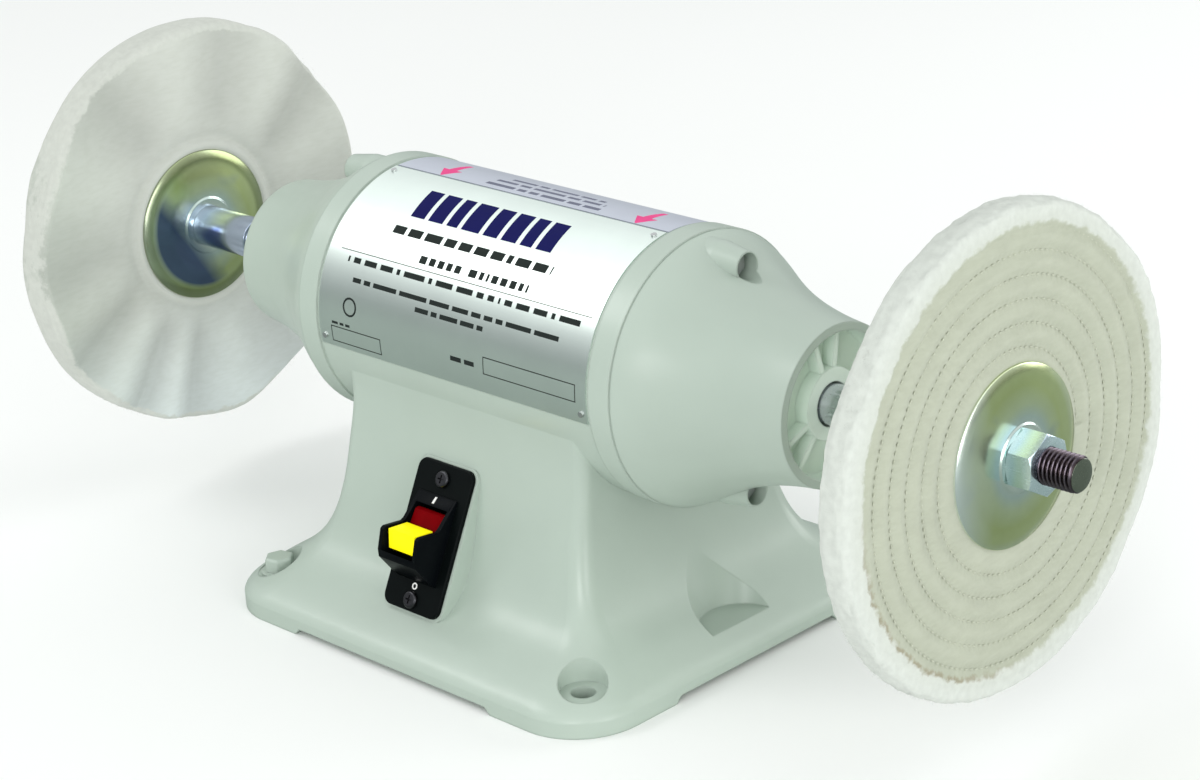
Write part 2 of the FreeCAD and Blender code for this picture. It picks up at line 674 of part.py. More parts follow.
def paddle_pin():
    return switch_placed(Part.makeCylinder(PIVOT_R, 2 * PIVOT_HALF, V(-PIVOT_HALF, PIVOT_U, PIVOT_N), AXIS_X))


def switch_terminals():
    tabs = [box(x - 3.1, x + 3.1, u - 0.4, u + 0.4, -34, -26) for x in (-8, 8) for u in (-12, 12)]
    return switch_placed(Part.makeCompound(tabs))


def switch_paddle():
    outline = [(10, -7), (15, 1.0), (15, 4.5), (13.6, 6.4), nose_point(0, 0), nose_point(NOSE_LONG, 0),
               nose_point(NOSE_LONG, 8.2), nose_point(3, 8.4), (-6, 2.5), (-6, -7)]
    paddle = extruded_x(outline, 11.4)
    slot = nose_block(1, 20, 2.3, 5.3, 4.4)
    pivot = Part.makeCylinder(PIVOT_R + 0.05, 40, V(-20, PIVOT_U, PIVOT_N), AXIS_X)
    return switch_placed(paddle.cut(slot).cut(pivot))


def lock_key():
    top = nose_block(2.5, 16.2, -2.4, -0.35, 10.5)
    front = nose_block(13.9, 16.2, -2.4, 9.0, 10.5)
    tongue = nose_block(2, 15, 2.7, 4.9, 4.0)
    return switch_placed(joined([top, front, tongue]))


def switch_screws():
    screws = []
    for u in SCREW_U:
        shank = Part.makeCylinder(2.0, 9.5, V(0, u, SWITCH_PLATE - 9.5), AXIS_Z)
        head = Part.makeCylinder(4.9, 2.2, V(0, u, SWITCH_PLATE), AXIS_Z)
        rim = [edge for edge in head.Edges if edge.BoundBox.ZMin > SWITCH_PLATE + 2.1]
        head = head.makeFillet(1.4, rim)
        cross = box(-2.4, 2.4, u - 0.45, u + 0.45, 3.2, 6).fuse(box(-0.45, 0.45, u - 2.4, u + 2.4, 3.2, 6))
        screws.append(shank.fuse(head).cut(cross))
    return switch_placed(Part.makeCompound(screws))


def main():
    os.makedirs("parts", exist_ok=True)
    save(housing(), "housing")
    for name, side in SIDES.items():
        save(end_bell(side), name + "_end_bell")
        save(bearing_outer(side), name + "_bearing_outer_ring")
        save(bearing_inner(side), name + "_bearing_inner_ring")
        save(Part.makeCompound(bearing_balls(side)), name + "_bearing_balls")
        save(ball_cage(side), name + "_ball_cage")
        save(spacer_sleeve(side), name + "_spacer_sleeve")
        save(flange(side, -1), name + "_inner_flange")
        save(flange(side, 1), name + "_outer_flange")
        save(buff(name), name + "_buff")
        save(spindle_nut(side), name + "_spindle_nut")
    save(wave_washer(), "wave_washer")
    save(tie_bolts(), "tie_bolts")
    save(tie_nuts(), "tie_nuts")
    save(nameplate(), "nameplate")
    save(Part.makeCompound(nameplate_pins()), "nameplate_pins")
    save(curved_sheet(STRIP_LOW, STRIP_HIGH, STRIP_THICK), "rotation_strip")
    save(stator_core(), "stator_core")
    save(stator_windings(), "stator_windings")
    save(rotor_core(), "rotor_core")
    save(rotor_cage(), "rotor_cage")
    save(shaft(), "shaft")
    save(bottom_cover(), "bottom_cover")
    save(cover_screws(), "cover_screws")
    save(cord_gland(), "cord_gland")
    save(lead_grommet(), "lead_grommet")
    save(run_capacitor(), "run_capacitor")
    save(capacitor_clamp(), "capacitor_clamp")
    save(terminal_block(), "terminal_block")
    save(terminal_screws(), "terminal_screws")
    save(switch_plate(), "switch_plate")
    save(switch_guard(), "switch_guard")
    save(switch_body(), "switch_body")
    save(switch_terminals(), "switch_terminals")
    save(paddle_pin(), "paddle_pin")
    save(switch_paddle(), "switch_paddle")
    save(lock_key(), "lock_key")
    save(switch_screws(), "switch_screws")


main()
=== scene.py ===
import json
import math

import bmesh
import bpy
import numpy as np
from mathutils import Matrix, Vector

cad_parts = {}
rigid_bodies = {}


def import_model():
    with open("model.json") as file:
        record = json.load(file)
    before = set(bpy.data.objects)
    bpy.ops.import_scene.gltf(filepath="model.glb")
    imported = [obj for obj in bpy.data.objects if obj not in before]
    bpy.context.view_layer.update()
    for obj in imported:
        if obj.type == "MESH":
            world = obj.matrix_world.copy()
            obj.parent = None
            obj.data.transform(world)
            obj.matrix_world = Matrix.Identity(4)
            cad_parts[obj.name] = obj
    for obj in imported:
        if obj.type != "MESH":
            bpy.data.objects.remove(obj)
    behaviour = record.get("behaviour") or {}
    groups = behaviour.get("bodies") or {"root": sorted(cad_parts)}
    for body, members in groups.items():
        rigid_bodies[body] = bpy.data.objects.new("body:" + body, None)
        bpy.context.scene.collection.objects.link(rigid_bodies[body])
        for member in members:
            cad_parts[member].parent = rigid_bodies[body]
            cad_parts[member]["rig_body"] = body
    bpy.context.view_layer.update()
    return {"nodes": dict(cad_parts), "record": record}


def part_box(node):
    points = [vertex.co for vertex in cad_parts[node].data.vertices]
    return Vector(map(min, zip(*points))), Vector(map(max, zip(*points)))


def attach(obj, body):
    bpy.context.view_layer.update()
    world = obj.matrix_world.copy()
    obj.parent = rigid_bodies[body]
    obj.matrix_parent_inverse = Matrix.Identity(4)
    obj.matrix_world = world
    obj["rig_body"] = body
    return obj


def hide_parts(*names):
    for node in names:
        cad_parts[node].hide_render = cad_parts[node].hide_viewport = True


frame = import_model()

MM = 0.001
WHITE = (1.0, 1.0, 1.0)
NODES = frame["nodes"]
SLOT_OF = {name: node.material_slots[0].material.name for name, node in NODES.items()}
for imported in list(bpy.data.materials):
    bpy.data.materials.remove(imported)
BODY_OF = {name: node["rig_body"] for name, node in NODES.items()}

# places read from the frame, in metres
shaft_low, shaft_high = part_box("shaft")
AXIS_Z = (shaft_low.z + shaft_high.z) / 2
buff_low, buff_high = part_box("right_buff")
loose_low, loose_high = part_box("left_buff")
WHEEL_X = (buff_low.x + buff_high.x) / 2
WHEEL_HALF = (buff_high.x - buff_low.x) / 2
LOOSE_HALF = (loose_high.x - loose_low.x) / 2
WHEEL_R = (buff_high.z - buff_low.z) / 2
flange_low, flange_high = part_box("right_outer_flange")
FLANGE_R = (flange_high.z - flange_low.z) / 2
nut_low, nut_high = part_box("right_spindle_nut")
plate_low, plate_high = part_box("nameplate")
PLATE_R = -plate_low.y
strip_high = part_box("rotation_strip")[1]
STRIP_R = strip_high.z - AXIS_Z


# ------------------------------------------------------------------ materials

class Look:
    """A node material; its patterns sit at row-frame positions in metres."""

    def __init__(self, name, rough, metal=0.0, **fixed):
        self.mat = bpy.data.materials.new(name)
        self.mat.use_nodes = True
        self.tree = self.mat.node_tree
        self.shader = self.tree.nodes["Principled BSDF"]
        self.place = self.node("ShaderNodeTexCoord").outputs["Object"]
        self.shader.inputs["Roughness"].default_value = rough
        self.shader.inputs["Metallic"].default_value = metal
        for socket, value in fixed.items():
            self.shader.inputs[socket.replace("_", " ")].default_value = value

    def node(self, kind, inputs=(), **settings):
        made = self.tree.nodes.new(kind)
        for key, value in settings.items():
            setattr(made, key, value)
        for key, value in dict(inputs).items():
            if isinstance(value, bpy.types.NodeSocket):
                self.tree.links.new(value, made.inputs[key])
            else:
                made.inputs[key].default_value = value
        return made

    def set(self, socket, source):
        self.tree.links.new(source, self.shader.inputs[socket])

    def stretched(self, scale):
        return self.node("ShaderNodeMapping", {"Vector": self.place, "Scale": scale}).outputs["Vector"]

    def noise(self, size, detail=3.0, rough=0.5, vector=None):
        source = self.place if vector is None else vector
        made = self.node("ShaderNodeTexNoise", {"Vector": source, "Scale": 1.0 / size, "Detail": detail,
                                                "Roughness": rough})
        return made.outputs["Fac"]

    def math(self, operation, a, b=0.0):
        made = self.node("ShaderNodeMath", {0: a, 1: b}, operation=operation)
        return made.outputs[0]

    def spread(self, fac, low, high, start=0.0, end=1.0):
        made = self.node("ShaderNodeMapRange", {"Value": fac, "From Min": start, "From Max": end,
                                                "To Min": low, "To Max": high})
        return made.outputs["Result"]

    def ramp(self, fac, stops, interpolation="LINEAR"):
        made = self.node("ShaderNodeValToRGB", {"Fac": fac})
        band = made.color_ramp
        band.interpolation = interpolation
        while len(band.elements) < len(stops):
            band.elements.new(1.0)
        for element, (position, colour) in zip(band.elements, stops):
            element.position = position
            element.color = (*colour, 1.0)
        return made.outputs["Color"]

    def mix(self, fac, a, b, blend="MIX"):
        made = self.node("ShaderNodeMix", data_type="RGBA", blend_type=blend)
        for key, value in (("Factor", fac), ("A", a), ("B", b)):
            socket = [s for s in made.inputs if s.name == key and s.enabled][0]
            if isinstance(value, bpy.types.NodeSocket):
                self.tree.links.new(value, socket)
            elif key == "Factor":
                socket.default_value = value
            else:
                socket.default_value = (*value, 1.0)
        return [s for s in made.outputs if s.enabled][0]

    def radius(self):
        """Distance from the spindle axis."""
        flat = self.node("ShaderNodeVectorMath", {0: self.place, 1: (0.0, 1.0, 1.0)}, operation="MULTIPLY")
        centre = (0.0, 0.0, AXIS_Z)
        moved = self.node("ShaderNodeVectorMath", {0: flat.outputs[0], 1: centre}, operation="SUBTRACT")
        return self.node("ShaderNodeVectorMath", {0: moved.outputs[0]}, operation="LENGTH").outputs["Value"]

    def along(self, axis):
        return self.node("ShaderNodeSeparateXYZ", {"Vector": self.place}).outputs[axis]

    def bump(self, *layers, soft=0.0):
        """Stacks (height, strength, distance) layers into the normal, over edges softened by a radius."""
        previous = self.node("ShaderNodeBevel", {"Radius": soft}, samples=4).outputs["Normal"] if soft else None
        for height, strength, distance in layers:
            made = self.node("ShaderNodeBump", {"Height": height, "Strength": strength, "Distance": distance})
            if previous is not None:
                self.tree.links.new(previous, made.inputs["Normal"])
            previous = made.outputs["Normal"]
        self.set("Normal", previous)


def tinted(look, colour, amount, size, detail=3.0):
    """A colour that drifts darker and lighter by amount over patches of a size."""
    dark = tuple(c * (1 - amount) for c in colour)
    light = tuple(min(1.0, c * (1 + amount)) for c in colour)
    return look.ramp(look.noise(size, detail), [(0.3, dark), (0.7, light)])


# where the hub recess, which is painted paler as painted light, starts along the spindle and where it ends
# outward, each as a soft step in metres
RECESS_X = (0.186, 0.190)
RECESS_R = (0.0385, 0.0400)


def enamel(name, recess_painted_light=0.0):
    """Baked grey-green enamel; recess_painted_light is how much paler it is painted inside the hub faces, as
    painted light over the shade in the hub recess.
    """
    look = Look(name, 0.36, Coat_Weight=0.2, Coat_Roughness=0.18)
    base = tinted(look, (0.420, 0.498, 0.436), 0.02, 0.05)
    if recess_painted_light:
        # painted light: the shaded hub recess is painted paler
        beyond = look.spread(look.math("ABSOLUTE", look.along("X")), 0.0, recess_painted_light, *RECESS_X)
        inside = look.spread(look.radius(), 1.0, 0.0, *RECESS_R)
        base = look.mix(look.math("MULTIPLY", beyond, inside), base, (0.80, 0.92, 0.82))
    specks = look.ramp(look.noise(0.0011, 1.0), [(0.0, (0.86, 0.86, 0.84)), (0.28, (1.0, 1.0, 1.0))])
    look.set("Base Color", look.mix(1.0, base, specks, "MULTIPLY"))
    look.set("Roughness", look.spread(look.noise(0.012, 4.0), 0.30, 0.44))
    look.bump((look.noise(0.022, 2.0), 0.35, 0.0006), (look.noise(0.0028, 2.0), 0.22, 0.0001), soft=0.0016)
    return look.mat


def worked_metal(name, colour, rough, turned=True, drift=0.06, scratch=0.25):
    """Machined or plated metal: turning marks round the spindle, or a drawn grain along x."""
    look = Look(name, rough, 1.0)
    look.set("Base Color", tinted(look, colour, drift, 0.012))
    if turned:
        ring = look.node("ShaderNodeCombineXYZ", {"X": look.radius(), "Y": look.along("X")})
        grain = look.noise(0.0006, 2.0, vector=ring.outputs["Vector"])
    else:
        grain = look.noise(0.0008, 2.0, vector=look.stretched((0.05, 1.0, 1.0)))
    look.set("Roughness", look.spread(grain, rough * 0.75, rough * 1.35))
    look.bump((grain, scratch, 0.00004), (look.noise(0.006, 3.0), 0.15, 0.0001))
    return look.mat


def zinc_flange(name):
    """Yellow-passivated pressed steel, painted near white towards the front as a painted highlight; the left
    flanges have a navy patch that is a painted reflection, and a darker olive rim that is partly the zinc's own
    colour and partly a painted reflection.
    """
    look = Look(name, 0.24, 1.0)
    radius = look.radius()
    drift = look.noise(0.045, 1.0)
    swing = look.math("ADD", look.spread(radius, 0.0, 1.0, 0.012, 0.047), look.spread(drift, -0.22, 0.22))
    colours = look.ramp(swing, [
        (0.0, (0.80, 0.88, 0.88)), (0.20, (0.56, 0.70, 0.74)), (0.38, (0.62, 0.72, 0.48)),
        (0.62, (0.54, 0.63, 0.26)), (0.84, (0.60, 0.69, 0.34)), (1.0, (0.72, 0.79, 0.60))])
    blued = look.spread(look.noise(0.03, 2.0), 0.0, 0.55, 0.60, 0.72)
    colours = look.mix(blued, colours, (0.30, 0.38, 0.52))
    colours = look.mix(0.25, colours, tinted(look, (0.66, 0.73, 0.46), 0.10, 0.006))
    # painted highlight: both flanges turn near white towards the front
    front = look.spread(look.along("Y"), 0.85, 0.0, -0.046, -0.020)
    colours = look.mix(front, colours, (0.92, 1.0, 1.0))
    # painted reflection: a dark navy patch low on the left flanges' dishes
    reflection_slope = look.math("ADD", look.math("MULTIPLY", look.along("Y"), 1.6), look.along("Z"))
    low = look.spread(reflection_slope, 0.92, 0.0, AXIS_Z - 0.038, AXIS_Z - 0.014)
    left = look.math("LESS_THAN", look.along("X"), 0.0)
    reflection_dish = look.math("MULTIPLY", look.spread(radius, 1.0, 0.0, 0.0375, 0.0410), left)
    colours = look.mix(look.math("MULTIPLY", low, reflection_dish), colours, (0.075, 0.115, 0.27))
    # darker olive rim on the left flanges: partly the zinc's own colour, partly a painted reflection
    rim = look.math("MULTIPLY", look.spread(radius, 0.0, 0.7, 0.0385, 0.0415), left)
    look.set("Base Color", look.mix(rim, colours, (0.25, 0.30, 0.13)))
    ring = look.node("ShaderNodeCombineXYZ", {"X": radius}).outputs["Vector"]
    grain = look.noise(0.0009, 2.0, vector=ring)
    look.set("Roughness", look.spread(look.noise(0.003, 4.0), 0.19, 0.27))
    look.bump((grain, 0.06, 0.00004), (look.noise(0.02, 1.0), 0.25, 0.0004))
    return look.mat


def plastic(name, colour, rough, grain_size=0.0005, grain=0.12, drift=0.08, **fixed):
    look = Look(name, rough, **fixed)
    look.set("Base Color", tinted(look, colour, drift, 0.008))
    look.set("Roughness", look.spread(look.noise(0.004, 4.0), rough * 0.8, min(1.0, rough * 1.25)))
    look.bump((look.noise(grain_size, 2.0), grain, 0.00006), (look.noise(0.01, 2.0), 0.12, 0.0002))
    return look.mat


def sheet_metal(name, colour, rough, metal):
    """Brushed sheet with its grain along the spindle direction."""
    look = Look(name, rough, metal)
    look.set("Base Color", tinted(look, colour, 0.03, 0.03))
    grain = look.noise(0.0009, 3.0, vector=look.stretched((0.02, 1.0, 1.0)))
    look.set("Roughness", look.spread(grain, rough * 0.92, rough * 1.1))
    look.bump((grain, 0.03, 0.00002), (look.noise(0.03, 1.0), 0.12, 0.0002))
    return look.mat


def weave(look, pitch):
    """Height of a plain weave in the y-z plane, from 0 to 1."""
    threads = []
    for direction in ("Y", "Z"):
        band = look.math("SINE", look.math("MULTIPLY", look.along(direction), 2 * math.pi / pitch))
        threads.append(band)
    return look.spread(look.math("MULTIPLY", *threads), 0.0, 1.0, -1.0, 1.0)


EDGE_RUN = 0.010


def cloth(name, face, rim, edge, weave_pitch, mottle, nap, collar=0.0, edge_shadow=0.0):
    """Cotton: a woven face painted darker in its fold valleys and lighter on its crests as painted shade and
    light, and paler cut edges beyond a ragged radius.

    collar is how pale the cloth lies round its flange, and also turns on painted light towards the bottom and
    painted shade towards the front; edge_shadow is how strongly a brown painted shadow lies along the face's
    lower front edge.
    """
    look = Look(name, 0.92, Sheen_Weight=0.12, Sheen_Roughness=0.5, Specular_IOR_Level=0.12)
    ragged = look.spread(look.noise(0.007, 4.0, 0.65), -0.0040, 0.0040)
    if edge_shadow:
        below = look.math("SUBTRACT", AXIS_Z, look.along("Z"))
        ragged = look.math("ADD", ragged, look.math("MULTIPLY", below, 0.018))
    passed = look.spread(look.math("ADD", look.radius(), ragged), 0.0, 1.0, edge[0], edge[0] + EDGE_RUN)
    first = (edge[1] - edge[0]) / EDGE_RUN
    reach = look.ramp(passed, [(0.0, (0.0,) * 3), (first, (0.80,) * 3), (1.0, (1.0,) * 3)])
    fold_shade = look.node("ShaderNodeAttribute", attribute_name="fold_shade").outputs["Fac"]
    # painted shade and light: darker in the fold valleys, lighter on the crests
    body = look.mix(look.spread(fold_shade, 0.0, 1.0, -1.0, 1.0), tuple(c * 0.84 for c in face),
                    tuple(min(1.0, c * 1.14) for c in face))
    body = look.mix(1.0, body, tinted(look, (0.96, 0.96, 0.96), mottle, 0.018, 5.0), "MULTIPLY")
    slubs = look.noise(0.0022, 3.0, vector=look.stretched((1.0, 0.25, 1.0)))
    threads = look.ramp(slubs, [(0.3, (0.95, 0.95, 0.94)), (0.62, (1.0, 1.0, 1.0))])
    body = look.mix(1.0, body, threads, "MULTIPLY")
    ring = look.spread(look.radius(), collar, 0.0, FLANGE_R + 0.0035, FLANGE_R + 0.0060)
    if collar:
        # painted light: lighter and bluer towards the bottom
        painted_light_below = look.spread(look.along("Z"), 1.0, 0.0, AXIS_Z - 0.115, AXIS_Z - 0.035)
        body = look.mix(1.0, body, look.mix(painted_light_below, WHITE, (1.19, 1.24, 1.33)), "MULTIPLY")
        # painted shade: darker towards the front
        painted_shade_ahead = look.spread(look.along("Y"), 1.0, 0.0, -0.110, -0.040)
        body = look.mix(1.0, body, look.mix(painted_shade_ahead, WHITE, (0.86, 0.885, 0.865)), "MULTIPLY")
    tips = tinted(look, rim, 0.05, 0.004, 4.0)
    colour = look.mix(reach, look.mix(ring, body, rim), tips)
    # painted shadow: a brown line along the cut edge at the lower front
    if edge_shadow:
        outward = look.math("ADD", look.radius(), ragged)
        gap = look.math("ABSOLUTE", look.math("SUBTRACT", outward, edge[0] + 0.0012))
        diagonal = look.math("ADD", look.along("Y"), look.along("Z"))
        corner = look.spread(diagonal, edge_shadow, 0.0, AXIS_Z - 0.150, AXIS_Z - 0.100)
        shadow_line = look.math("MULTIPLY", look.spread(gap, 1.0, 0.0, 0.0004, 0.0021), corner)
        patch = look.spread(look.noise(0.006, 2.0), 0.15, 1.0, 0.34, 0.52)
        colour = look.mix(look.math("MULTIPLY", shadow_line, patch), colour, (0.235, 0.205, 0.125))
    look.set("Base Color", colour)
    look.bump((look.noise(0.0018, 4.0, 0.6), 0.35, nap), (weave(look, weave_pitch), 0.3, 0.0001))
    return look.mat


def fibre(name, colour):
    look = Look(name, 0.95, Sheen_Weight=0.3, Specular_IOR_Level=0.15)
    look.set("Base Color", tinted(look, colour, 0.09, 0.002, 4.0))
    look.bump((look.noise(0.0004, 2.0), 0.3, 0.00005))
    return look.mat


THREAD_R = 0.0095


def shaft_steel(name):
    """Bright ground steel that turns to dark oiled thread outside the nuts, with painted highlights on the
    thread crests, and to grey-green on its ends.
    """
    look = Look(name, 0.2, 1.0)
    # painted highlight: the thread's crests are painted lighter than its dark roots
    crest_highlight = look.spread(look.radius(), 0.0, 1.0, THREAD_R - 0.0013, THREAD_R - 0.0001)
    thread = look.mix(crest_highlight, (0.022, 0.017, 0.022), (0.145, 0.125, 0.155))
    thread = look.mix(look.spread(look.noise(0.004, 4.0), 0.0, 0.35), thread, (0.12, 0.08, 0.07))
    bright = tinted(look, (0.62, 0.63, 0.68), 0.05, 0.01)
    outside = look.math("GREATER_THAN", look.math("ABSOLUTE", look.along("X")), nut_low.x - 0.002)
    tip = look.math("GREATER_THAN", look.math("ABSOLUTE", look.along("X")), shaft_high.x - 0.0003)
    look.set("Base Color", look.mix(tip, look.mix(outside, bright, thread), (0.20, 0.225, 0.18)))
    look.set("Roughness", look.spread(look.noise(0.002, 4.0), 0.16, 0.34))
    look.bump((look.noise(0.0007, 3.0), 0.25, 0.00005))
    return look.mat


def striped(name, colour, rough, metal, pitch, axis="X"):
    """Stacked sheets or wound strands: bands of a pitch along an axis."""
    look = Look(name, rough, metal)
    band = look.math("SINE", look.math("MULTIPLY", look.along(axis), 2 * math.pi / pitch))
    height = look.spread(band, 0.0, 1.0, -1.0, 1.0)
    shade = look.ramp(height, [(0.1, tuple(c * 0.55 for c in colour)), (0.5, colour)])
    look.set("Base Color", look.mix(0.25, shade, tinted(look, colour, 0.2, 0.006)))
    look.bump((height, 0.5, 0.0002))
    return look.mat


SLOTS = {
    "enamel": enamel("enamel"),
    "enamel_bell": enamel("enamel_bell", 0.8),
    "nameplate_metal": sheet_metal("nameplate_metal", (0.80, 0.88, 0.83), 0.30, 1.0),
    "strip_foil": sheet_metal("strip_foil", (0.58, 0.61, 0.69), 0.42, 0.6),
    "pin_steel": worked_metal("pin_steel", (0.55, 0.56, 0.56), 0.3, False),
    "bright_shaft": shaft_steel("bright_shaft"),
    "sleeve_steel": worked_metal("sleeve_steel", (0.50, 0.56, 0.72), 0.18, True, 0.03, 0.06),
    "yellow_zinc": zinc_flange("yellow_zinc"),
    "blue_zinc": worked_metal("blue_zinc", (0.76, 0.91, 1.0), 0.24, False, 0.04, 0.05),
    "tie_steel": worked_metal("tie_steel", (0.45, 0.45, 0.46), 0.38, False),
    "loose_muslin": cloth("loose_muslin", (0.545, 0.565, 0.522), (0.555, 0.575, 0.53), (0.1212, 0.1226),
                          0.0009, 0.02, 0.00005, collar=0.75),
    "sewn_cotton": cloth("sewn_cotton", (0.422, 0.448, 0.360), (0.55, 0.58, 0.54), (0.1127, 0.1146),
                         0.0011, 0.035, 0.00012, edge_shadow=0.75),
    "bearing_steel": worked_metal("bearing_steel", (0.66, 0.67, 0.68), 0.12),
    "cage_plastic": plastic("cage_plastic", (0.30, 0.16, 0.05), 0.45),
    "lamination": striped("lamination", (0.30, 0.31, 0.33), 0.45, 0.9, 0.001),
    "copper_enamel": striped("copper_enamel", (0.52, 0.20, 0.07), 0.3, 0.6, 0.0022),
    "cast_aluminium": worked_metal("cast_aluminium", (0.72, 0.73, 0.74), 0.42, False, 0.1, 0.4),
    "cover_steel": sheet_metal("cover_steel", (0.42, 0.44, 0.44), 0.42, 0.85),
    "screw_steel": worked_metal("screw_steel", (0.50, 0.50, 0.50), 0.35, False),
    "black_rubber": plastic("black_rubber", (0.022, 0.022, 0.024), 0.62, 0.0012, 0.25),
    "capacitor_can": worked_metal("capacitor_can", (0.68, 0.69, 0.70), 0.3, False),
    "block_plastic": plastic("block_plastic", (0.62, 0.58, 0.50), 0.5),
    "brass": worked_metal("brass", (0.72, 0.52, 0.20), 0.28, False),
    "switch_black": plastic("switch_black", (0.0025, 0.004, 0.004), 0.42, 0.0006, 0.15,
                            Specular_IOR_Level=0.06),
    "guard_black": plastic("guard_black", (0.0025, 0.0035, 0.0045), 0.34, 0.0006, 0.1,
                           Specular_IOR_Level=0.035),
    "black_screw": worked_metal("black_screw", (0.055, 0.055, 0.06), 0.33, False),
    "pivot_steel": worked_metal("pivot_steel", (0.6, 0.6, 0.6), 0.25, False),
    "paddle_red": plastic("paddle_red", (0.165, 0.0005, 0.002), 0.40, 0.0006, 0.08, 0.1,
                          Specular_IOR_Level=0.015),
    # painted light: the yellow key glows a little of its own, lifting the shade under its guard
    "key_yellow": plastic("key_yellow", (0.95, 0.82, 0.004), 0.42, 0.0006, 0.08, 0.03,
                          Specular_IOR_Level=0.05, Emission_Color=(0.95, 0.86, 0.01, 1.0),
                          Emission_Strength=0.36),
}
for name, node in NODES.items():
    node.material_slots[0].material = SLOTS[SLOT_OF[name]]

PRINT = {name: plastic("print_" + name, colour, 0.6, Specular_IOR_Level=0.05) for name, colour in {
    "navy": (0.008, 0.009, 0.085),
    "ink": (0.020, 0.026, 0.024),
    "magenta": (0.78, 0.085, 0.27),
    "grey": (0.17, 0.18, 0.24),
    "white": (0.85, 0.85, 0.83)}.items()}
FIBRE_WHITE = fibre("fibre_white", (0.575, 0.595, 0.56))
FIBRE_CREAM = fibre("fibre_cream", (0.55, 0.57, 0.52))
STITCH_THREAD = fibre("stitch_thread", (0.44, 0.465, 0.37))


# ------------------------------------------------------------------ mesh helpers

def piece(name, points, faces, material, body, smooth=True):
    """A mesh object in the row frame that rides on a body."""
    mesh = bpy.data.meshes.new(name)
    mesh.from_pydata(np.asarray(points, float).tolist(), [], [list(map(int, f)) for f in faces])
    mesh.validate()
    mesh.materials.append(material)
    mesh.shade_smooth() if smooth else mesh.shade_flat()
    made = bpy.data.objects.new(name, mesh)
    bpy.context.scene.collection.objects.link(made)
    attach(made, body)
    return made


def ring_faces(rows, columns):
    """Quads of a grid closed in both directions, as point numbers row * columns + column."""
    row, column = np.meshgrid(np.arange(rows), np.arange(columns), indexing="ij")
    below, beside = (row + 1) % rows, (column + 1) % columns
    quads = np.stack([row * columns + column, below * columns + column,
                      below * columns + beside, row * columns + beside], axis=-1)
    return quads.reshape(-1, 4)


def value_noise(points, size, seed):
    """Smooth repeatable noise from -1 to 1, with features about size across."""
    table = np.random.RandomState(seed).uniform(-1, 1, (32, 32, 32))
    place = np.asarray(points, float) / size
    cell = np.floor(place).astype(int)
    t = place - cell
    t = t * t * (3 - 2 * t)
    total = np.zeros(len(place))
    for corner in np.ndindex(2, 2, 2):
        weight = np.prod(np.where(np.array(corner) == 1, t, 1 - t), axis=1)
        index = (cell + np.array(corner)) % 32
        total += weight * table[index[:, 0], index[:, 1], index[:, 2]]
    return total


def fractal(points, size, seed, octaves=3, keep=0.5):
    return sum(value_noise(points, size / 2 ** i, seed + i) * keep ** i for i in range(octaves))


def softened(node, width, segments=3):
    """A copy of a CAD node with its sharp edges rounded, which stands for the node."""
    mesh = NODES[node].data.copy()
    if "custom_normal" in mesh.attributes:
        mesh.attributes.remove(mesh.attributes["custom_normal"])
    shape = bmesh.new()
    shape.from_mesh(mesh)
    bmesh.ops.remove_doubles(shape, verts=shape.verts, dist=2e-6)
    bmesh.ops.dissolve_limit(shape, angle_limit=math.radians(1.0), verts=shape.verts, edges=shape.edges)
    shape.to_mesh(mesh)
    shape.free()
    for edge in mesh.edges:
        edge.use_edge_sharp = False
    made = bpy.data.objects.new(node + "_rounded", mesh)
    bpy.context.scene.collection.objects.link(made)
    bevel = made.modifiers.new("bevel", "BEVEL")
    bevel.width = width
    bevel.segments = segments
    bevel.limit_method = "ANGLE"
    bevel.angle_limit = math.radians(32)
    bevel.use_clamp_overlap = True
    bpy.context.view_layer.update()
    made.data = bpy.data.meshes.new_from_object(made.evaluated_get(bpy.context.evaluated_depsgraph_get()))
    made.modifiers.clear()
    made.data.shade_smooth()
    made.data.set_sharp_from_angle(angle=math.radians(38))
    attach(made, BODY_OF[node])
    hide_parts(node)
    return made


def hairs(name, roots, directions, lengths, thick, curl, material, body, seed):
    """A bundle of fine closed three-sided tubes, each bending a little on its way out."""
    random = np.random.RandomState(seed)
    count, steps = len(roots), 4
    bend = random.normal(size=(count, 3))
    spots = []
    for i in range(steps):
        t = i / (steps - 1)
        spots.append(roots + directions * (lengths * t)[:, None] + bend * (curl * lengths * t * t)[:, None])
    line = np.stack(spots, axis=1)
    tangent = np.gradient(line, axis=1)
    tangent /= np.linalg.norm(tangent, axis=2, keepdims=True) + 1e-12
    side = np.cross(tangent, random.normal(size=(count, 1, 3)))
    side /= np.linalg.norm(side, axis=2, keepdims=True) + 1e-12
    other = np.cross(tangent, side)
    taper = np.linspace(1.0, 0.45, steps)[None, :, None] * thick / 2
    rings = [line + taper * (side * math.cos(a) + other * math.sin(a)) for a in np.arange(3) * 2 * math.pi / 3]
    points = np.stack(rings, axis=2).reshape(-1, 3)
    faces = []
    for i in range(steps - 1):
        for j in range(3):
            k = (j + 1) % 3
            faces.append([i * 3 + j, i * 3 + k, i * 3 + 3 + k, i * 3 + 3 + j])
    base = np.arange(count)[:, None, None] * steps * 3
    quads = (base + np.array(faces)[None]).reshape(-1, 4)
    last = (steps - 1) * 3
    caps = (base + np.array([[2, 1, 0], [last, last + 1, last + 2]])[None]).reshape(-1, 3)
    return piece(name, points, list(quads) + list(caps), material, body)


# ------------------------------------------------------------------ cloth buffs

RIM_START = WHEEL_R - 0.0065
RIM_ROUND = 0.0055


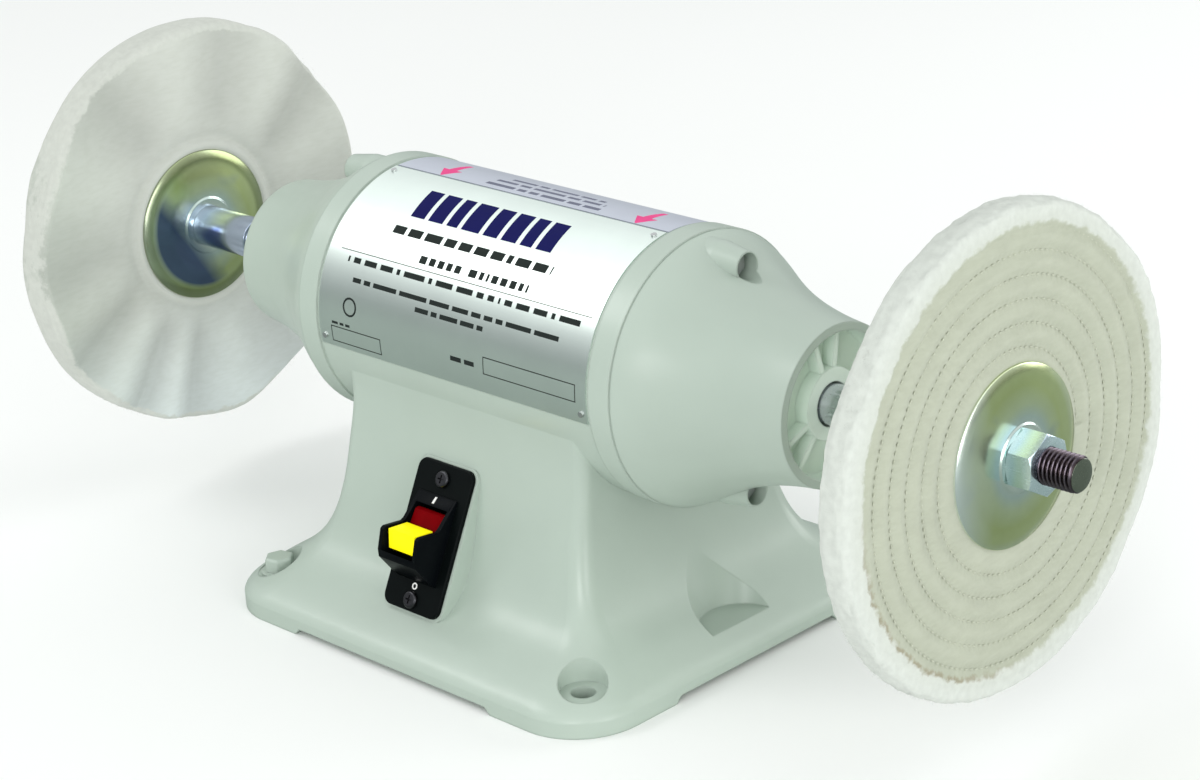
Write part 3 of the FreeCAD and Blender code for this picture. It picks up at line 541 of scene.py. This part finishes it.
def buff_section(step, rim_steps, half=WHEEL_HALF):
    """(offset across the wheel, radius) round one closed cut through a buff of a half thickness."""
    hub = np.linspace(0.0105, FLANGE_R - 0.002, 9)
    face = np.arange(FLANGE_R - 0.0005, WHEEL_R - 0.007, step)
    radii = np.concatenate([hub, face])
    front = [(half, r) for r in radii]
    rim = []
    for i in range(rim_steps + 1):
        a = math.pi * i / rim_steps
        across, out = math.cos(a), math.sin(a)
        flat = math.copysign(abs(across) ** 0.75, across)
        rim.append((half * flat, RIM_START + RIM_ROUND * out ** 0.55 if out > 1e-6 else RIM_START))
    back = [(-half, r) for r in radii[::-1]]
    return np.array(front + rim + back)


def wheel_points(side, across, radius, angle):
    """Row-frame points from wheel offsets; the angle is from +y towards +z."""
    return np.stack([side * WHEEL_X + across, radius * np.cos(angle), AXIS_Z + radius * np.sin(angle)], axis=-1)


def ring_place(angle, turns, third=0.0):
    """Noise positions that close round the wheel, with a third value that runs some other way."""
    return np.stack([np.cos(angle) * turns, np.sin(angle) * turns, angle * 0 + third], axis=1)


SPIRAL_START = 0.0515
SPIRAL_PITCH = 0.0119
SPIRAL_TURNS = 5.2
STITCH = 0.0042
SEWN_END = 0.1150
LIP_R = 0.1155
QUILT_CROWN = 0.0008
SEAM_VALLEY = 0.00045
SEAM_PUCKER = 0.00022
FACE_WRINKLE = 0.00028


def spiral_distance(radius, angle):
    """Signed distance from the nearest turn of the sewn spiral, and that turn's length so far."""
    turn = angle / (2 * math.pi)
    k = np.round((radius - SPIRAL_START) / SPIRAL_PITCH - turn)
    k = np.clip(k, 0, math.floor(SPIRAL_TURNS))
    line = SPIRAL_START + SPIRAL_PITCH * (k + turn)
    return radius - line, line


def sewn_buff():
    spokes = 660
    section = buff_section(0.00125, 18)
    columns = len(section)
    angle = np.repeat(np.arange(spokes) * 2 * math.pi / spokes, columns)
    across = np.tile(section[:, 0], spokes)
    radius = np.tile(section[:, 1], spokes)
    face = np.sign(across) * np.clip((np.abs(across) / WHEEL_HALF - 0.55) / 0.45, 0, 1)
    flat = wheel_points(1, across, radius, angle)
    away, line = spiral_distance(radius, angle)
    sewn = np.clip((radius - FLANGE_R + 0.001) / 0.003, 0, 1) * np.clip((SEWN_END - radius) / 0.003, 0, 1)
    crown = QUILT_CROWN * np.cos(np.clip(np.abs(away) / (SPIRAL_PITCH / 2), 0, 1) * math.pi)
    drift = value_noise(ring_place(angle, 9, line * 300), 1.0, 5)
    valley = np.exp(-(away / 0.0013) ** 2)
    pucker = np.cos(2 * math.pi * angle * line / STITCH + 2.2 * drift) * np.exp(-(away / 0.0034) ** 2)
    wrinkle = fractal(flat * [0.3, 1, 1], 0.0085, 11, 3)
    lift = sewn * (-crown - SEAM_VALLEY * valley + SEAM_PUCKER * pucker + FACE_WRINKLE * wrinkle)
    slow = 0.0011 * fractal(ring_place(angle, 2.2, radius * 12), 1.0, 23, 2)
    outer = np.clip((radius - 0.095) / 0.03, 0, 1)
    lip = np.exp(-((radius - LIP_R) / 0.0022) ** 2) * (0.0007 + 0.0006 * fractal(flat, 0.006, 41, 2))
    across = across + face * (lift + lip) + slow * outer
    edge = np.clip((radius - 0.114) / 0.010, 0, 1)
    lumps = 0.0006 * fractal(flat * [2.2, 1, 1], 0.006, 31, 3)
    plies = 0.0006 * fractal(flat * [4, 0.35, 0.35], 0.006, 37, 2)
    bulge = 0.0013 * value_noise(ring_place(angle, 3.5), 1.0, 43)
    radius = radius + edge * (lumps + plies + bulge)
    made = piece("right_buff_cloth", wheel_points(1, across, radius, angle), ring_faces(spokes, columns),
                 SLOTS["sewn_cotton"], BODY_OF["right_buff"])
    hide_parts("right_buff")
    stitches()
    fringe("right_buff_fringe", 1, WHEEL_HALF, 4600, (0.0006, 0.0020), 0.0001, FIBRE_WHITE, 71)


STITCH_SIZE = (0.0013, 0.00042, 0.0004)
STITCH_SINK = 0.00085


def stitches():
    """Short thread bumps that lie along the sewn spiral on both faces."""
    rows = []
    position = 0.0
    total = SPIRAL_TURNS * 2 * math.pi
    while position < total:
        radius = SPIRAL_START + SPIRAL_PITCH * position / (2 * math.pi)
        rows.append((radius, position))
        position += STITCH / radius
    rows = np.array(rows)
    long, wide, high = STITCH_SIZE
    outline = [(-1.0, 0.0), (-0.55, 0.8), (0.0, 1.0), (0.55, 0.8), (1.0, 0.0)]
    shape = []
    for t, w in outline:
        for a in np.arange(5) * 2 * math.pi / 5:
            out = (w * wide + 1e-5) * math.cos(a)
            shape.append((t * long, out, (w + 0.02) * high * math.sin(a)))
    shape = np.array(shape)
    faces = []
    for i in range(len(outline) - 1):
        for j in range(5):
            k = (j + 1) % 5
            faces.append([i * 5 + j, i * 5 + k, i * 5 + 5 + k, i * 5 + 5 + j])
    caps = [[4, 3, 2, 1, 0], [20, 21, 22, 23, 24]]
    points, all_faces, count = [], [], 0
    for side_of in (1, -1):
        for radius, angle in rows:
            turned = angle + shape[:, 0] / radius
            out = radius + shape[:, 1]
            depth = side_of * (WHEEL_HALF - STITCH_SINK + shape[:, 2])
            points.append(wheel_points(1, depth, out, turned))
            all_faces += [[count + v for v in f] for f in faces + caps]
            count += len(shape)
    spots = np.concatenate(points)
    piece("right_buff_stitches", spots, all_faces, STITCH_THREAD, BODY_OF["right_buff"])


def fringe(name, side, half, count, reach, thick, material, seed):
    """Frayed thread ends that stand off the cut edge of a buff of a half thickness."""
    random = np.random.RandomState(seed)
    angle = random.uniform(0, 2 * math.pi, count)
    across = random.uniform(-1, 1, count) * half * 0.97
    rounded = RIM_ROUND * (1 - (np.abs(across) / half) ** 2) ** 0.3
    roots = wheel_points(side, across, WHEEL_R - 0.0072 + rounded, angle)
    outward = np.stack([across / half * 0.5, np.cos(angle), np.sin(angle)], axis=1)
    along = np.stack([angle * 0, -np.sin(angle), np.cos(angle)], axis=1)
    lean = random.normal(size=(count, 1)) * 0.9
    directions = outward + along * lean + random.normal(size=(count, 3)) * 0.35
    directions /= np.linalg.norm(directions, axis=1, keepdims=True)
    lengths = random.uniform(*reach, count)
    hairs(name, roots, directions, lengths, thick, 0.35, material, BODY_OF["right_buff"], seed + 1)


# (angle in degrees, width in degrees, height in millimetres) of the loose buff's folds on the motor's side
FOLDS = [(18, 9, 3.0), (33, 8, -5.4), (50, 10, 4.0), (76, 12, -3.2), (98, 11, 3.4), (121, 11, -4.6),
         (148, 13, 3.6), (176, 10, -2.8), (192, 8, 3.4), (207, 7, -5.4), (222, 7, 4.6), (237, 6, -6.4),
         (249, 6, 4.0), (260, 6, -5.2), (278, 10, 4.0), (305, 13, -3.2), (334, 12, 2.6), (356, 9, -2.2)]


def folds(angle, shift, swap):
    """Height of the folds round the wheel: rounded crests and sharper valleys."""
    total = np.zeros(len(angle))
    for centre, width, height in FOLDS:
        gap = np.degrees(angle) - centre - shift
        gap = np.abs((gap + 180) % 360 - 180) / width
        total += height * swap * MM * np.exp(-gap ** (2.0 if height > 0 else 1.45))
    return total


def loose_buff():
    spokes = 900
    section = buff_section(0.0016, 28, LOOSE_HALF)
    columns = len(section)
    angle = np.repeat(np.arange(spokes) * 2 * math.pi / spokes, columns)
    across = np.tile(section[:, 0], spokes)
    radius = np.tile(section[:, 1], spokes)
    flat = wheel_points(-1, across, radius, angle)
    face = np.sign(across) * np.clip((np.abs(across) / LOOSE_HALF - 0.5) / 0.5, 0, 1)
    spread = np.clip((radius - FLANGE_R - 0.002) / (WHEEL_R - 0.010 - FLANGE_R), 0, 1)
    across = across * (WHEEL_HALF + (LOOSE_HALF - WHEEL_HALF) * spread) / LOOSE_HALF
    grow = np.clip((radius - FLANGE_R - 0.005) / (WHEEL_R - FLANGE_R - 0.005), 0, 1) ** 0.85
    swirl = angle + 0.16 * grow * value_noise(flat * [0, 1, 1], 0.09, 3)
    near = folds(swirl, 0, 1.0) * grow
    far = folds(swirl, 131, 0.6) * grow
    common = 0.0022 * value_noise(ring_place(angle, 1.6), 1.0, 9)
    ring = np.exp(-((radius - FLANGE_R - 0.0032) / 0.0028) ** 4) * 0.0016
    dip = np.exp(-((radius - FLANGE_R - 0.0085) / 0.0030) ** 2) * -0.0009
    crease = 0.00022 * fractal(flat * [0.4, 1, 1], 0.03, 17, 2) * grow
    own = np.where(face > 0, near, -far)
    across = across + common * grow + np.abs(face) * own + (1 - np.abs(face)) * (near - far) * 0.5
    across = across + face * (ring + dip) + face * crease
    edge = np.clip((radius - 0.117) / 0.008, 0, 1)
    outline = 0.0024 * value_noise(ring_place(angle, 2.1, 4), 1.0, 13)
    plies = 0.00016 * np.cos(across / 0.0017 * 2 * math.pi) * (1 - np.abs(face))
    ragged = 0.00022 * fractal(flat * [3, 0.6, 0.6], 0.006, 29, 2)
    radius = radius + edge * (outline - 0.0012 + 0.16 * own + plies + ragged)
    made = piece("left_buff_cloth", wheel_points(-1, across, radius, angle), ring_faces(spokes, columns),
                 SLOTS["loose_muslin"], BODY_OF["left_buff"])
    # fold depth kept for the cloth's painted shade in valleys and painted light on crests
    shade = made.data.attributes.new("fold_shade", "FLOAT", "POINT")
    depth = np.where(face > 0, near, far) / (0.0042 * np.maximum(grow, 0.3))
    shade.data.foreach_set("value", np.clip(depth * np.clip(grow * 2.5, 0, 1), -1, 1).astype(np.float32))
    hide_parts("left_buff")
    fringe("left_buff_fringe", -1, LOOSE_HALF, 900, (0.0005, 0.0014), 0.0001, FIBRE_CREAM, 91)


# ------------------------------------------------------------------ spindle

THREAD_PITCH = 0.00254
THREAD_DEPTH = 0.00145
THREAD_CHAMFER = 0.0014
SEAT_END, JOURNAL_END, NECK_END = 0.182, 0.198, 0.252


def threaded_shaft():
    """The shaft with a real helical thread outside each nut, and the CAD outline between."""
    journal, seat, neck, major = 0.0125, 0.014, 0.011, 0.009525
    end = shaft_high.x
    start = nut_low.x
    step = 0.0001
    outline = [(0.0, seat), (SEAT_END - step, seat), (SEAT_END + step, journal), (JOURNAL_END - step, journal),
               (JOURNAL_END + step, neck), (NECK_END - step, neck), (NECK_END + step, major),
               (start - 0.0005, major)]
    fine = np.arange(start, end - 0.00001, THREAD_PITCH / 11)
    spokes = 72
    angle = np.arange(spokes) * 2 * math.pi / spokes
    rows = [(x, np.full(spokes, r)) for x, r in outline]
    for x in fine:
        phase = (x / THREAD_PITCH - angle / (2 * math.pi)) % 1.0
        height = np.clip((1 - np.abs(2 * phase - 1) * 2 + 0.5) / 1.25, 0, 1)
        radius = major - THREAD_DEPTH * (1 - height)
        run_in = np.clip((x - start) / 0.002, 0, 1)
        radius = major * (1 - run_in) + radius * run_in
        rows.append((x, np.minimum(radius, major - THREAD_CHAMFER + (end - x))))
    rows.append((end, np.full(spokes, major - THREAD_CHAMFER - step)))
    rows.append((end, np.full(spokes, 0.004)))
    everything = [(-x, r) for x, r in reversed(rows[1:])] + rows
    points = [np.stack([np.full(spokes, x), r * np.cos(angle), AXIS_Z + r * np.sin(angle)], axis=1)
              for x, r in everything]
    faces = []
    for i in range(len(everything) - 1):
        for j in range(spokes):
            k = (j + 1) % spokes
            n = i * spokes
            faces.append([n + j, n + k, n + spokes + k, n + spokes + j])
    last = (len(everything) - 1) * spokes
    faces.append([spokes - 1 - j for j in range(spokes)])
    faces.append([last + j for j in range(spokes)])
    made = piece("shaft_threaded", np.concatenate(points), faces, SLOTS["bright_shaft"], BODY_OF["shaft"])
    made.data.set_sharp_from_angle(angle=math.radians(50))
    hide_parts("shaft")


# ------------------------------------------------------------------ printed marks

def plate_point(x_mm, degrees, radius):
    a = math.radians(degrees)
    return (x_mm * MM, -radius * math.cos(a), AXIS_Z + radius * math.sin(a))


def printed(name, strips, radius, material, body="motor_frame"):
    """Thin ink laid on the barrel: strips of (x0, x1 at the low edge, x0, x1 at the high edge, low, high)."""
    points, faces = [], []
    for low_0, low_1, high_0, high_1, low, high in strips:
        rows = max(1, int(math.ceil(abs(high - low) / 2.5)))
        first = len(points)
        for i in range(rows + 1):
            t = i / rows
            x0 = low_0 + (high_0 - low_0) * t
            x1 = low_1 + (high_1 - low_1) * t
            a = low + (high - low) * t
            for r in (radius - 0.00002, radius + 0.00005):
                points += [plate_point(x0, a, r), plate_point(x1, a, r)]
        for i in range(rows):
            n = first + 4 * i
            faces += [[n + 2, n + 3, n + 7, n + 6], [n + 1, n, n + 4, n + 5],
                      [n, n + 2, n + 6, n + 4], [n + 3, n + 1, n + 5, n + 7]]
        n = first + 4 * rows
        faces += [[first, first + 1, first + 3, first + 2], [n + 1, n, n + 2, n + 3]]
    return piece(name, points, faces, material, body, smooth=False)


def dashes(x0, x1, low, high, lengths, gap, word_gap=None, words=()):
    """Blocks of cycling lengths that fill a line from x0 to x1."""
    strips, x, i = [], x0, 0
    while x < x1:
        wide = min(lengths[i % len(lengths)], x1 - x)
        strips.append((x, x + wide, x, x + wide, low, high))
        x += wide + (word_gap if word_gap and i % (len(lengths)) in words else gap)
        i += 1
    return strips


def frame_of(x0, x1, low, high, line_mm=0.55):
    """Outline of a box."""
    line = math.degrees(line_mm * MM / PLATE_R)
    return [(x0, x1, x0, x1, low, low + line), (x0, x1, x0, x1, high - line, high),
            (x0, x0 + line_mm, x0, x0 + line_mm, low + line, high - line),
            (x1 - line_mm, x1, x1 - line_mm, x1, low + line, high - line)]


def ring_of(x, degrees, outer_mm, inner_mm, count=28):
    """A printed ring as short strips that meet corner to corner."""
    strips = []
    rise = math.degrees(MM / PLATE_R)
    for i in range(count):
        low = -outer_mm + 2 * outer_mm * i / count
        high = -outer_mm + 2 * outer_mm * (i + 1) / count
        for sign in (-1, 1):
            edges = []
            for h in (low, high):
                out = math.sqrt(max(outer_mm ** 2 - h * h, 0.0))
                into = math.sqrt(max(inner_mm ** 2 - h * h, 0.0))
                edges.append(sorted((x + sign * out, x + sign * into)))
            (a0, a1), (b0, b1) = edges
            strips.append((a0, a1 + 1e-4, b0, b1 + 1e-4, degrees + low * rise, degrees + high * rise))
    return strips


def plate_print():
    blocks, x = [], -60.0
    for wide in (12.5, 13.0, 10.0, 15.5, 12.5, 13.0, 10.5, 13.0):
        blocks.append((x + 1.6, x + wide, x - 0.4, x + wide - 2.0, 56.0, 72.0))
        x += wide + 1.7
    printed("plate_heading", blocks, PLATE_R, PRINT["navy"])
    lines = dashes(-64, 61, 46.6, 50.4, (9.5, 10.5, 13.0, 8.5, 9.5, 10.0, 9.5, 4.0, 10.5, 10.0), 2.9)
    lines += dashes(-34, 51, 36.8, 40.2, (5.5, 4.6, 4.6, 4.2, 4.6, 6.0, 3.2, 1.8, 4.6, 4.8, 4.6, 3.2), 2.3,
                    6.5, (4,))
    lines += [(-96, 102, -96, 102, 34.2, 34.55)]
    lines += dashes(-88, 95, 29.6, 32.0, (1.4, 5.6, 9.8, 10.0, 2.6, 16.5, 2.6, 13.0, 12.5, 5.2, 4.8), 3.4)
    lines += dashes(-80, 83, 21.6, 23.6, (6.6, 5.2, 19.0, 22.0, 15.5, 12.5, 7.2), 2.6)
    lines += dashes(-27, 28, 16.9, 18.9, (10.5, 4.6, 14.0), 2.4)
    lines += frame_of(-96, -54.5, -6.6, 0.6) + dashes(-95, -80, 1.6, 2.7, (5.0, 3.2), 1.6)
    lines += dashes(3, 24, 1.2, 3.2, (8.4, 7.6), 2.6) + frame_of(28.6, 98.5, -0.6, 6.9)
    lines += ring_of(-80, 10.6, 5.6, 4.4)
    printed("plate_lines", lines, PLATE_R, PRINT["ink"])


def strip_print():
    arrows = []
    for x in (-71.0, 81.0):
        arrows.append((x - 0.6, x + 0.6, x - 7.5, x + 7.5, 84.9, 92.0))
        arrows.append((x - 3.0, x + 3.0, x - 1.6, x + 1.6, 92.0, 103.0))
    printed("strip_arrows", arrows, STRIP_R, PRINT["magenta"])
    rows = dashes(-38, 50, 87.4, 89.6, (22.0, 6.4, 7.0, 18.0, 9.5), 2.6)
    rows += dashes(-36, 48, 92.4, 94.4, (16.0, 8.0, 24.0, 9.0, 13.0), 2.6)
    rows += dashes(-30, 42, 97.2, 99.2, (19.0, 7.0, 20.0, 11.0), 2.6)
    rows += [(-106, 106, -106, 106, 84.0, 84.35)]
    printed("strip_lines", rows, STRIP_R, PRINT["grey"])


# ------------------------------------------------------------------ switch marks and hold-down bolt

SWITCH_AT = Vector((-6.0, -92.5, 64.0))
SWITCH_TILT = math.radians(26.5)
PLATE_FACE = 2.5
HOOD_TOP, HOOD_SLOPE = 24.0, 2.4 / 5.5
OFF_MARK_UP = -27.7


def switch_point(x, u, n):
    """Row-frame point from the switch's own across, up and out distances in millimetres."""
    up = Vector((0, math.sin(SWITCH_TILT), math.cos(SWITCH_TILT)))
    out = Vector((0, -math.cos(SWITCH_TILT), math.sin(SWITCH_TILT)))
    return (SWITCH_AT + Vector((x, 0, 0)) + up * u + out * n) * MM


def switch_marks():
    """The raised on bar and off ring, each a closed moulding with rounded shoulders."""
    points, faces = [], []
    bar = [(-0.75, 19.0), (0.75, 19.0), (0.75, 22.8), (-0.75, 22.8)]
    for level, inset in ((-0.3, 0.0), (0.18, 0.0), (0.3, 0.12)):
        for x, u in bar:
            rise = PLATE_FACE + 1.0 + (HOOD_TOP - u) * HOOD_SLOPE
            inward = inset if u < 20 else -inset
            points.append(switch_point(x - math.copysign(inset, x), u + inward, rise + level))
    for i in range(2):
        faces += [[4 * i + j, 4 * i + (j + 1) % 4, 4 * i + 4 + (j + 1) % 4, 4 * i + 4 + j] for j in range(4)]
    faces += [[3, 2, 1, 0], [8, 9, 10, 11]]
    first, around = len(points), 36
    section = [(1.15, -0.3), (1.95, -0.3), (1.95, 0.2), (1.8, 0.32), (1.3, 0.32), (1.15, 0.2)]
    for i in range(around):
        a = 2 * math.pi * i / around
        points += [switch_point(r * math.cos(a), OFF_MARK_UP + r * math.sin(a), PLATE_FACE + h)
                   for r, h in section]
    for i in range(around):
        for j in range(6):
            a, b = first + i * 6, first + (i + 1) % around * 6
            k = (j + 1) % 6
            faces.append([a + j, b + j, b + k, a + k])
    piece("switch_marks", points, faces, PRINT["white"], "motor_frame", smooth=False)


def hold_down_bolt():
    """An enamelled hex head and washer in the front left bolt hole."""
    mount = [m for m in frame["record"]["mounts"] if m["name"] == "bench_bolts"][0]
    x = -mount["dims"]["spacing_x_mm"] / 2 * MM
    y = -mount["dims"]["spacing_y_mm"] / 2 * MM
    seat = mount["pos_m"][2]
    points, faces = [], []

    def stack(rings, sides, turn):
        first = len(points)
        for radius, height in rings:
            for i in range(sides):
                a = 2 * math.pi * i / sides + turn
                points.append((x + radius * math.cos(a), y + radius * math.sin(a), seat + height))
        for i in range(len(rings) - 1):
            for j in range(sides):
                k = (j + 1) % sides
                n = first + i * sides
                faces.append([n + j, n + k, n + sides + k, n + sides + j])
        faces.append([first + j for j in reversed(range(sides))])
        faces.append([first + (len(rings) - 1) * sides + j for j in range(sides)])

    stack([(0.0106, 0.00005), (0.0110, 0.0004), (0.0110, 0.0014), (0.0106, 0.0018)], 48, 0.0)
    stack([(0.0084, 0.0017), (0.0087, 0.0020), (0.0087, 0.0089), (0.0082, 0.0097), (0.0072, 0.0102)], 6,
          math.radians(12))
    stack([(0.0063, -0.0140), (0.0063, 0.0005)], 32, 0.0)
    piece("hold_down_bolt", points, faces, SLOTS["enamel"], "motor_frame", smooth=False)


# ------------------------------------------------------------------ scene

# name, place, aim, size in metres and watts of each area lamp
LAMPS = (("key", (-1.5, -1.3, 2.0), (0.0, 0.0, 0.16), 1.1, 14.5),
         ("top", (0.4, 0.3, 2.4), (0.0, 0.0, 0.1), 2.0, 3.0),
         ("front", (1.3, -2.2, 0.9), (0.0, 0.0, 0.12), 0.8, 14.0),
         ("side", (2.2, -0.5, 0.45), (0.15, 0.0, 0.10), 1.2, 16.5),
         ("rear", (0.9, 2.0, 0.8), (0.2, 0.0, 0.12), 1.2, 12.0))
# the surround's colour low down and high up, for each kind of ray
SKIES = (("Is Diffuse Ray", (0.96, 0.98, 0.97), (0.74, 0.76, 0.75)),
         ("Is Glossy Ray", (0.24, 0.26, 0.27), (1.20, 1.23, 1.24)),
         ("Is Camera Ray", WHITE, WHITE))
FLOOR_HALF = 9.0


def studio():
    """White floor and surround that mirror darker in metal, a soft key from the upper left and four fills."""
    mesh = bpy.data.meshes.new("floor")
    corners = [(x * FLOOR_HALF, y * FLOOR_HALF, 0.0) for x, y in ((-1, -1), (1, -1), (1, 1), (-1, 1))]
    mesh.from_pydata(corners, [], [(0, 1, 2, 3)])
    floor = bpy.data.objects.new("floor", mesh)
    bpy.context.scene.collection.objects.link(floor)
    look = Look("floor", 0.7, Specular_IOR_Level=0.1)
    gloss = look.node("ShaderNodeLightPath").outputs["Is Glossy Ray"]
    pale = tinted(look, (0.93, 0.935, 0.93), 0.004, 0.5)
    look.set("Base Color", look.mix(gloss, pale, (0.30, 0.34, 0.32)))
    mesh.materials.append(look.mat)

    world = bpy.data.worlds.new("studio")
    bpy.context.scene.world = world
    world.use_nodes = True
    nodes, links = world.node_tree.nodes, world.node_tree.links
    split = nodes.new("ShaderNodeSeparateXYZ")
    links.new(nodes.new("ShaderNodeTexCoord").outputs["Generated"], split.inputs["Vector"])
    path = nodes.new("ShaderNodeLightPath")
    shown = None
    for ray, low, high in SKIES:
        ramp = nodes.new("ShaderNodeValToRGB")
        ramp.color_ramp.elements[0].color = (*low, 1.0)
        ramp.color_ramp.elements[1].position = 0.75
        ramp.color_ramp.elements[1].color = (*high, 1.0)
        links.new(split.outputs["Z"], ramp.inputs["Fac"])
        sky = nodes.new("ShaderNodeBackground")
        links.new(ramp.outputs["Color"], sky.inputs["Color"])
        choose = nodes.new("ShaderNodeMixShader")
        links.new(path.outputs[ray], choose.inputs["Fac"])
        if shown is not None:
            links.new(shown, choose.inputs[1])
        links.new(sky.outputs["Background"], choose.inputs[2])
        shown = choose.outputs["Shader"]
    links.new(shown, nodes["World Output"].inputs["Surface"])

    for name, at, aim, size, watts in LAMPS:
        data = bpy.data.lights.new(name, "AREA")
        data.shape = "SQUARE"
        data.size = size
        data.energy = watts
        lamp = bpy.data.objects.new(name, data)
        lamp.location = at
        lamp.rotation_euler = (Vector(aim) - Vector(at)).to_track_quat("-Z", "Y").to_euler()
        bpy.context.scene.collection.objects.link(lamp)


CAMERA_TURN = (46.02, 21.23, -3.69)
CAMERA_TARGET = Vector((0.03916, 0.0, 0.13238))
CAMERA_DISTANCE = 1.6605
CAMERA_LENS = 90.37


def camera():
    """Looks down at the right front corner, a little rolled."""
    azimuth, elevation, roll = (math.radians(a) for a in CAMERA_TURN)
    level = math.cos(elevation)
    back = Vector((math.sin(azimuth) * level, -math.cos(azimuth) * level, math.sin(elevation)))
    right = (-back).cross(Vector((0, 0, 1))).normalized()
    up = right.cross(-back)
    across = right * math.cos(roll) + up * math.sin(roll)
    upward = up * math.cos(roll) - right * math.sin(roll)
    data = bpy.data.cameras.new("camera")
    data.lens = CAMERA_LENS
    data.sensor_width = 36.0
    data.clip_end = 50.0
    made = bpy.data.objects.new("camera", data)
    place = Matrix((across, upward, back)).transposed().to_4x4()
    place.translation = CAMERA_TARGET + back * CAMERA_DISTANCE
    made.matrix_world = place
    bpy.context.scene.collection.objects.link(made)
    bpy.context.scene.camera = made


# the width, in metres, of the rounding on each CAD node that gets softer edges
EDGE_WIDTHS = (("switch_guard", 0.0005), ("switch_paddle", 0.0005), ("lock_key", 0.0004),
               ("right_spindle_nut", 0.0005), ("left_spindle_nut", 0.0005), ("right_outer_flange", 0.0003),
               ("left_outer_flange", 0.0003), ("right_inner_flange", 0.0003), ("left_inner_flange", 0.0003),
               ("right_spacer_sleeve", 0.0005), ("left_spacer_sleeve", 0.0005), ("cord_gland", 0.0005))

camera()
studio()
bpy.context.scene.view_settings.view_transform = "Standard"

sewn_buff()
loose_buff()
threaded_shaft()
for name, width in EDGE_WIDTHS:
    softened(name, width)
plate_print()
strip_print()
switch_marks()
hold_down_bolt()

bpy.context.view_layer.update()
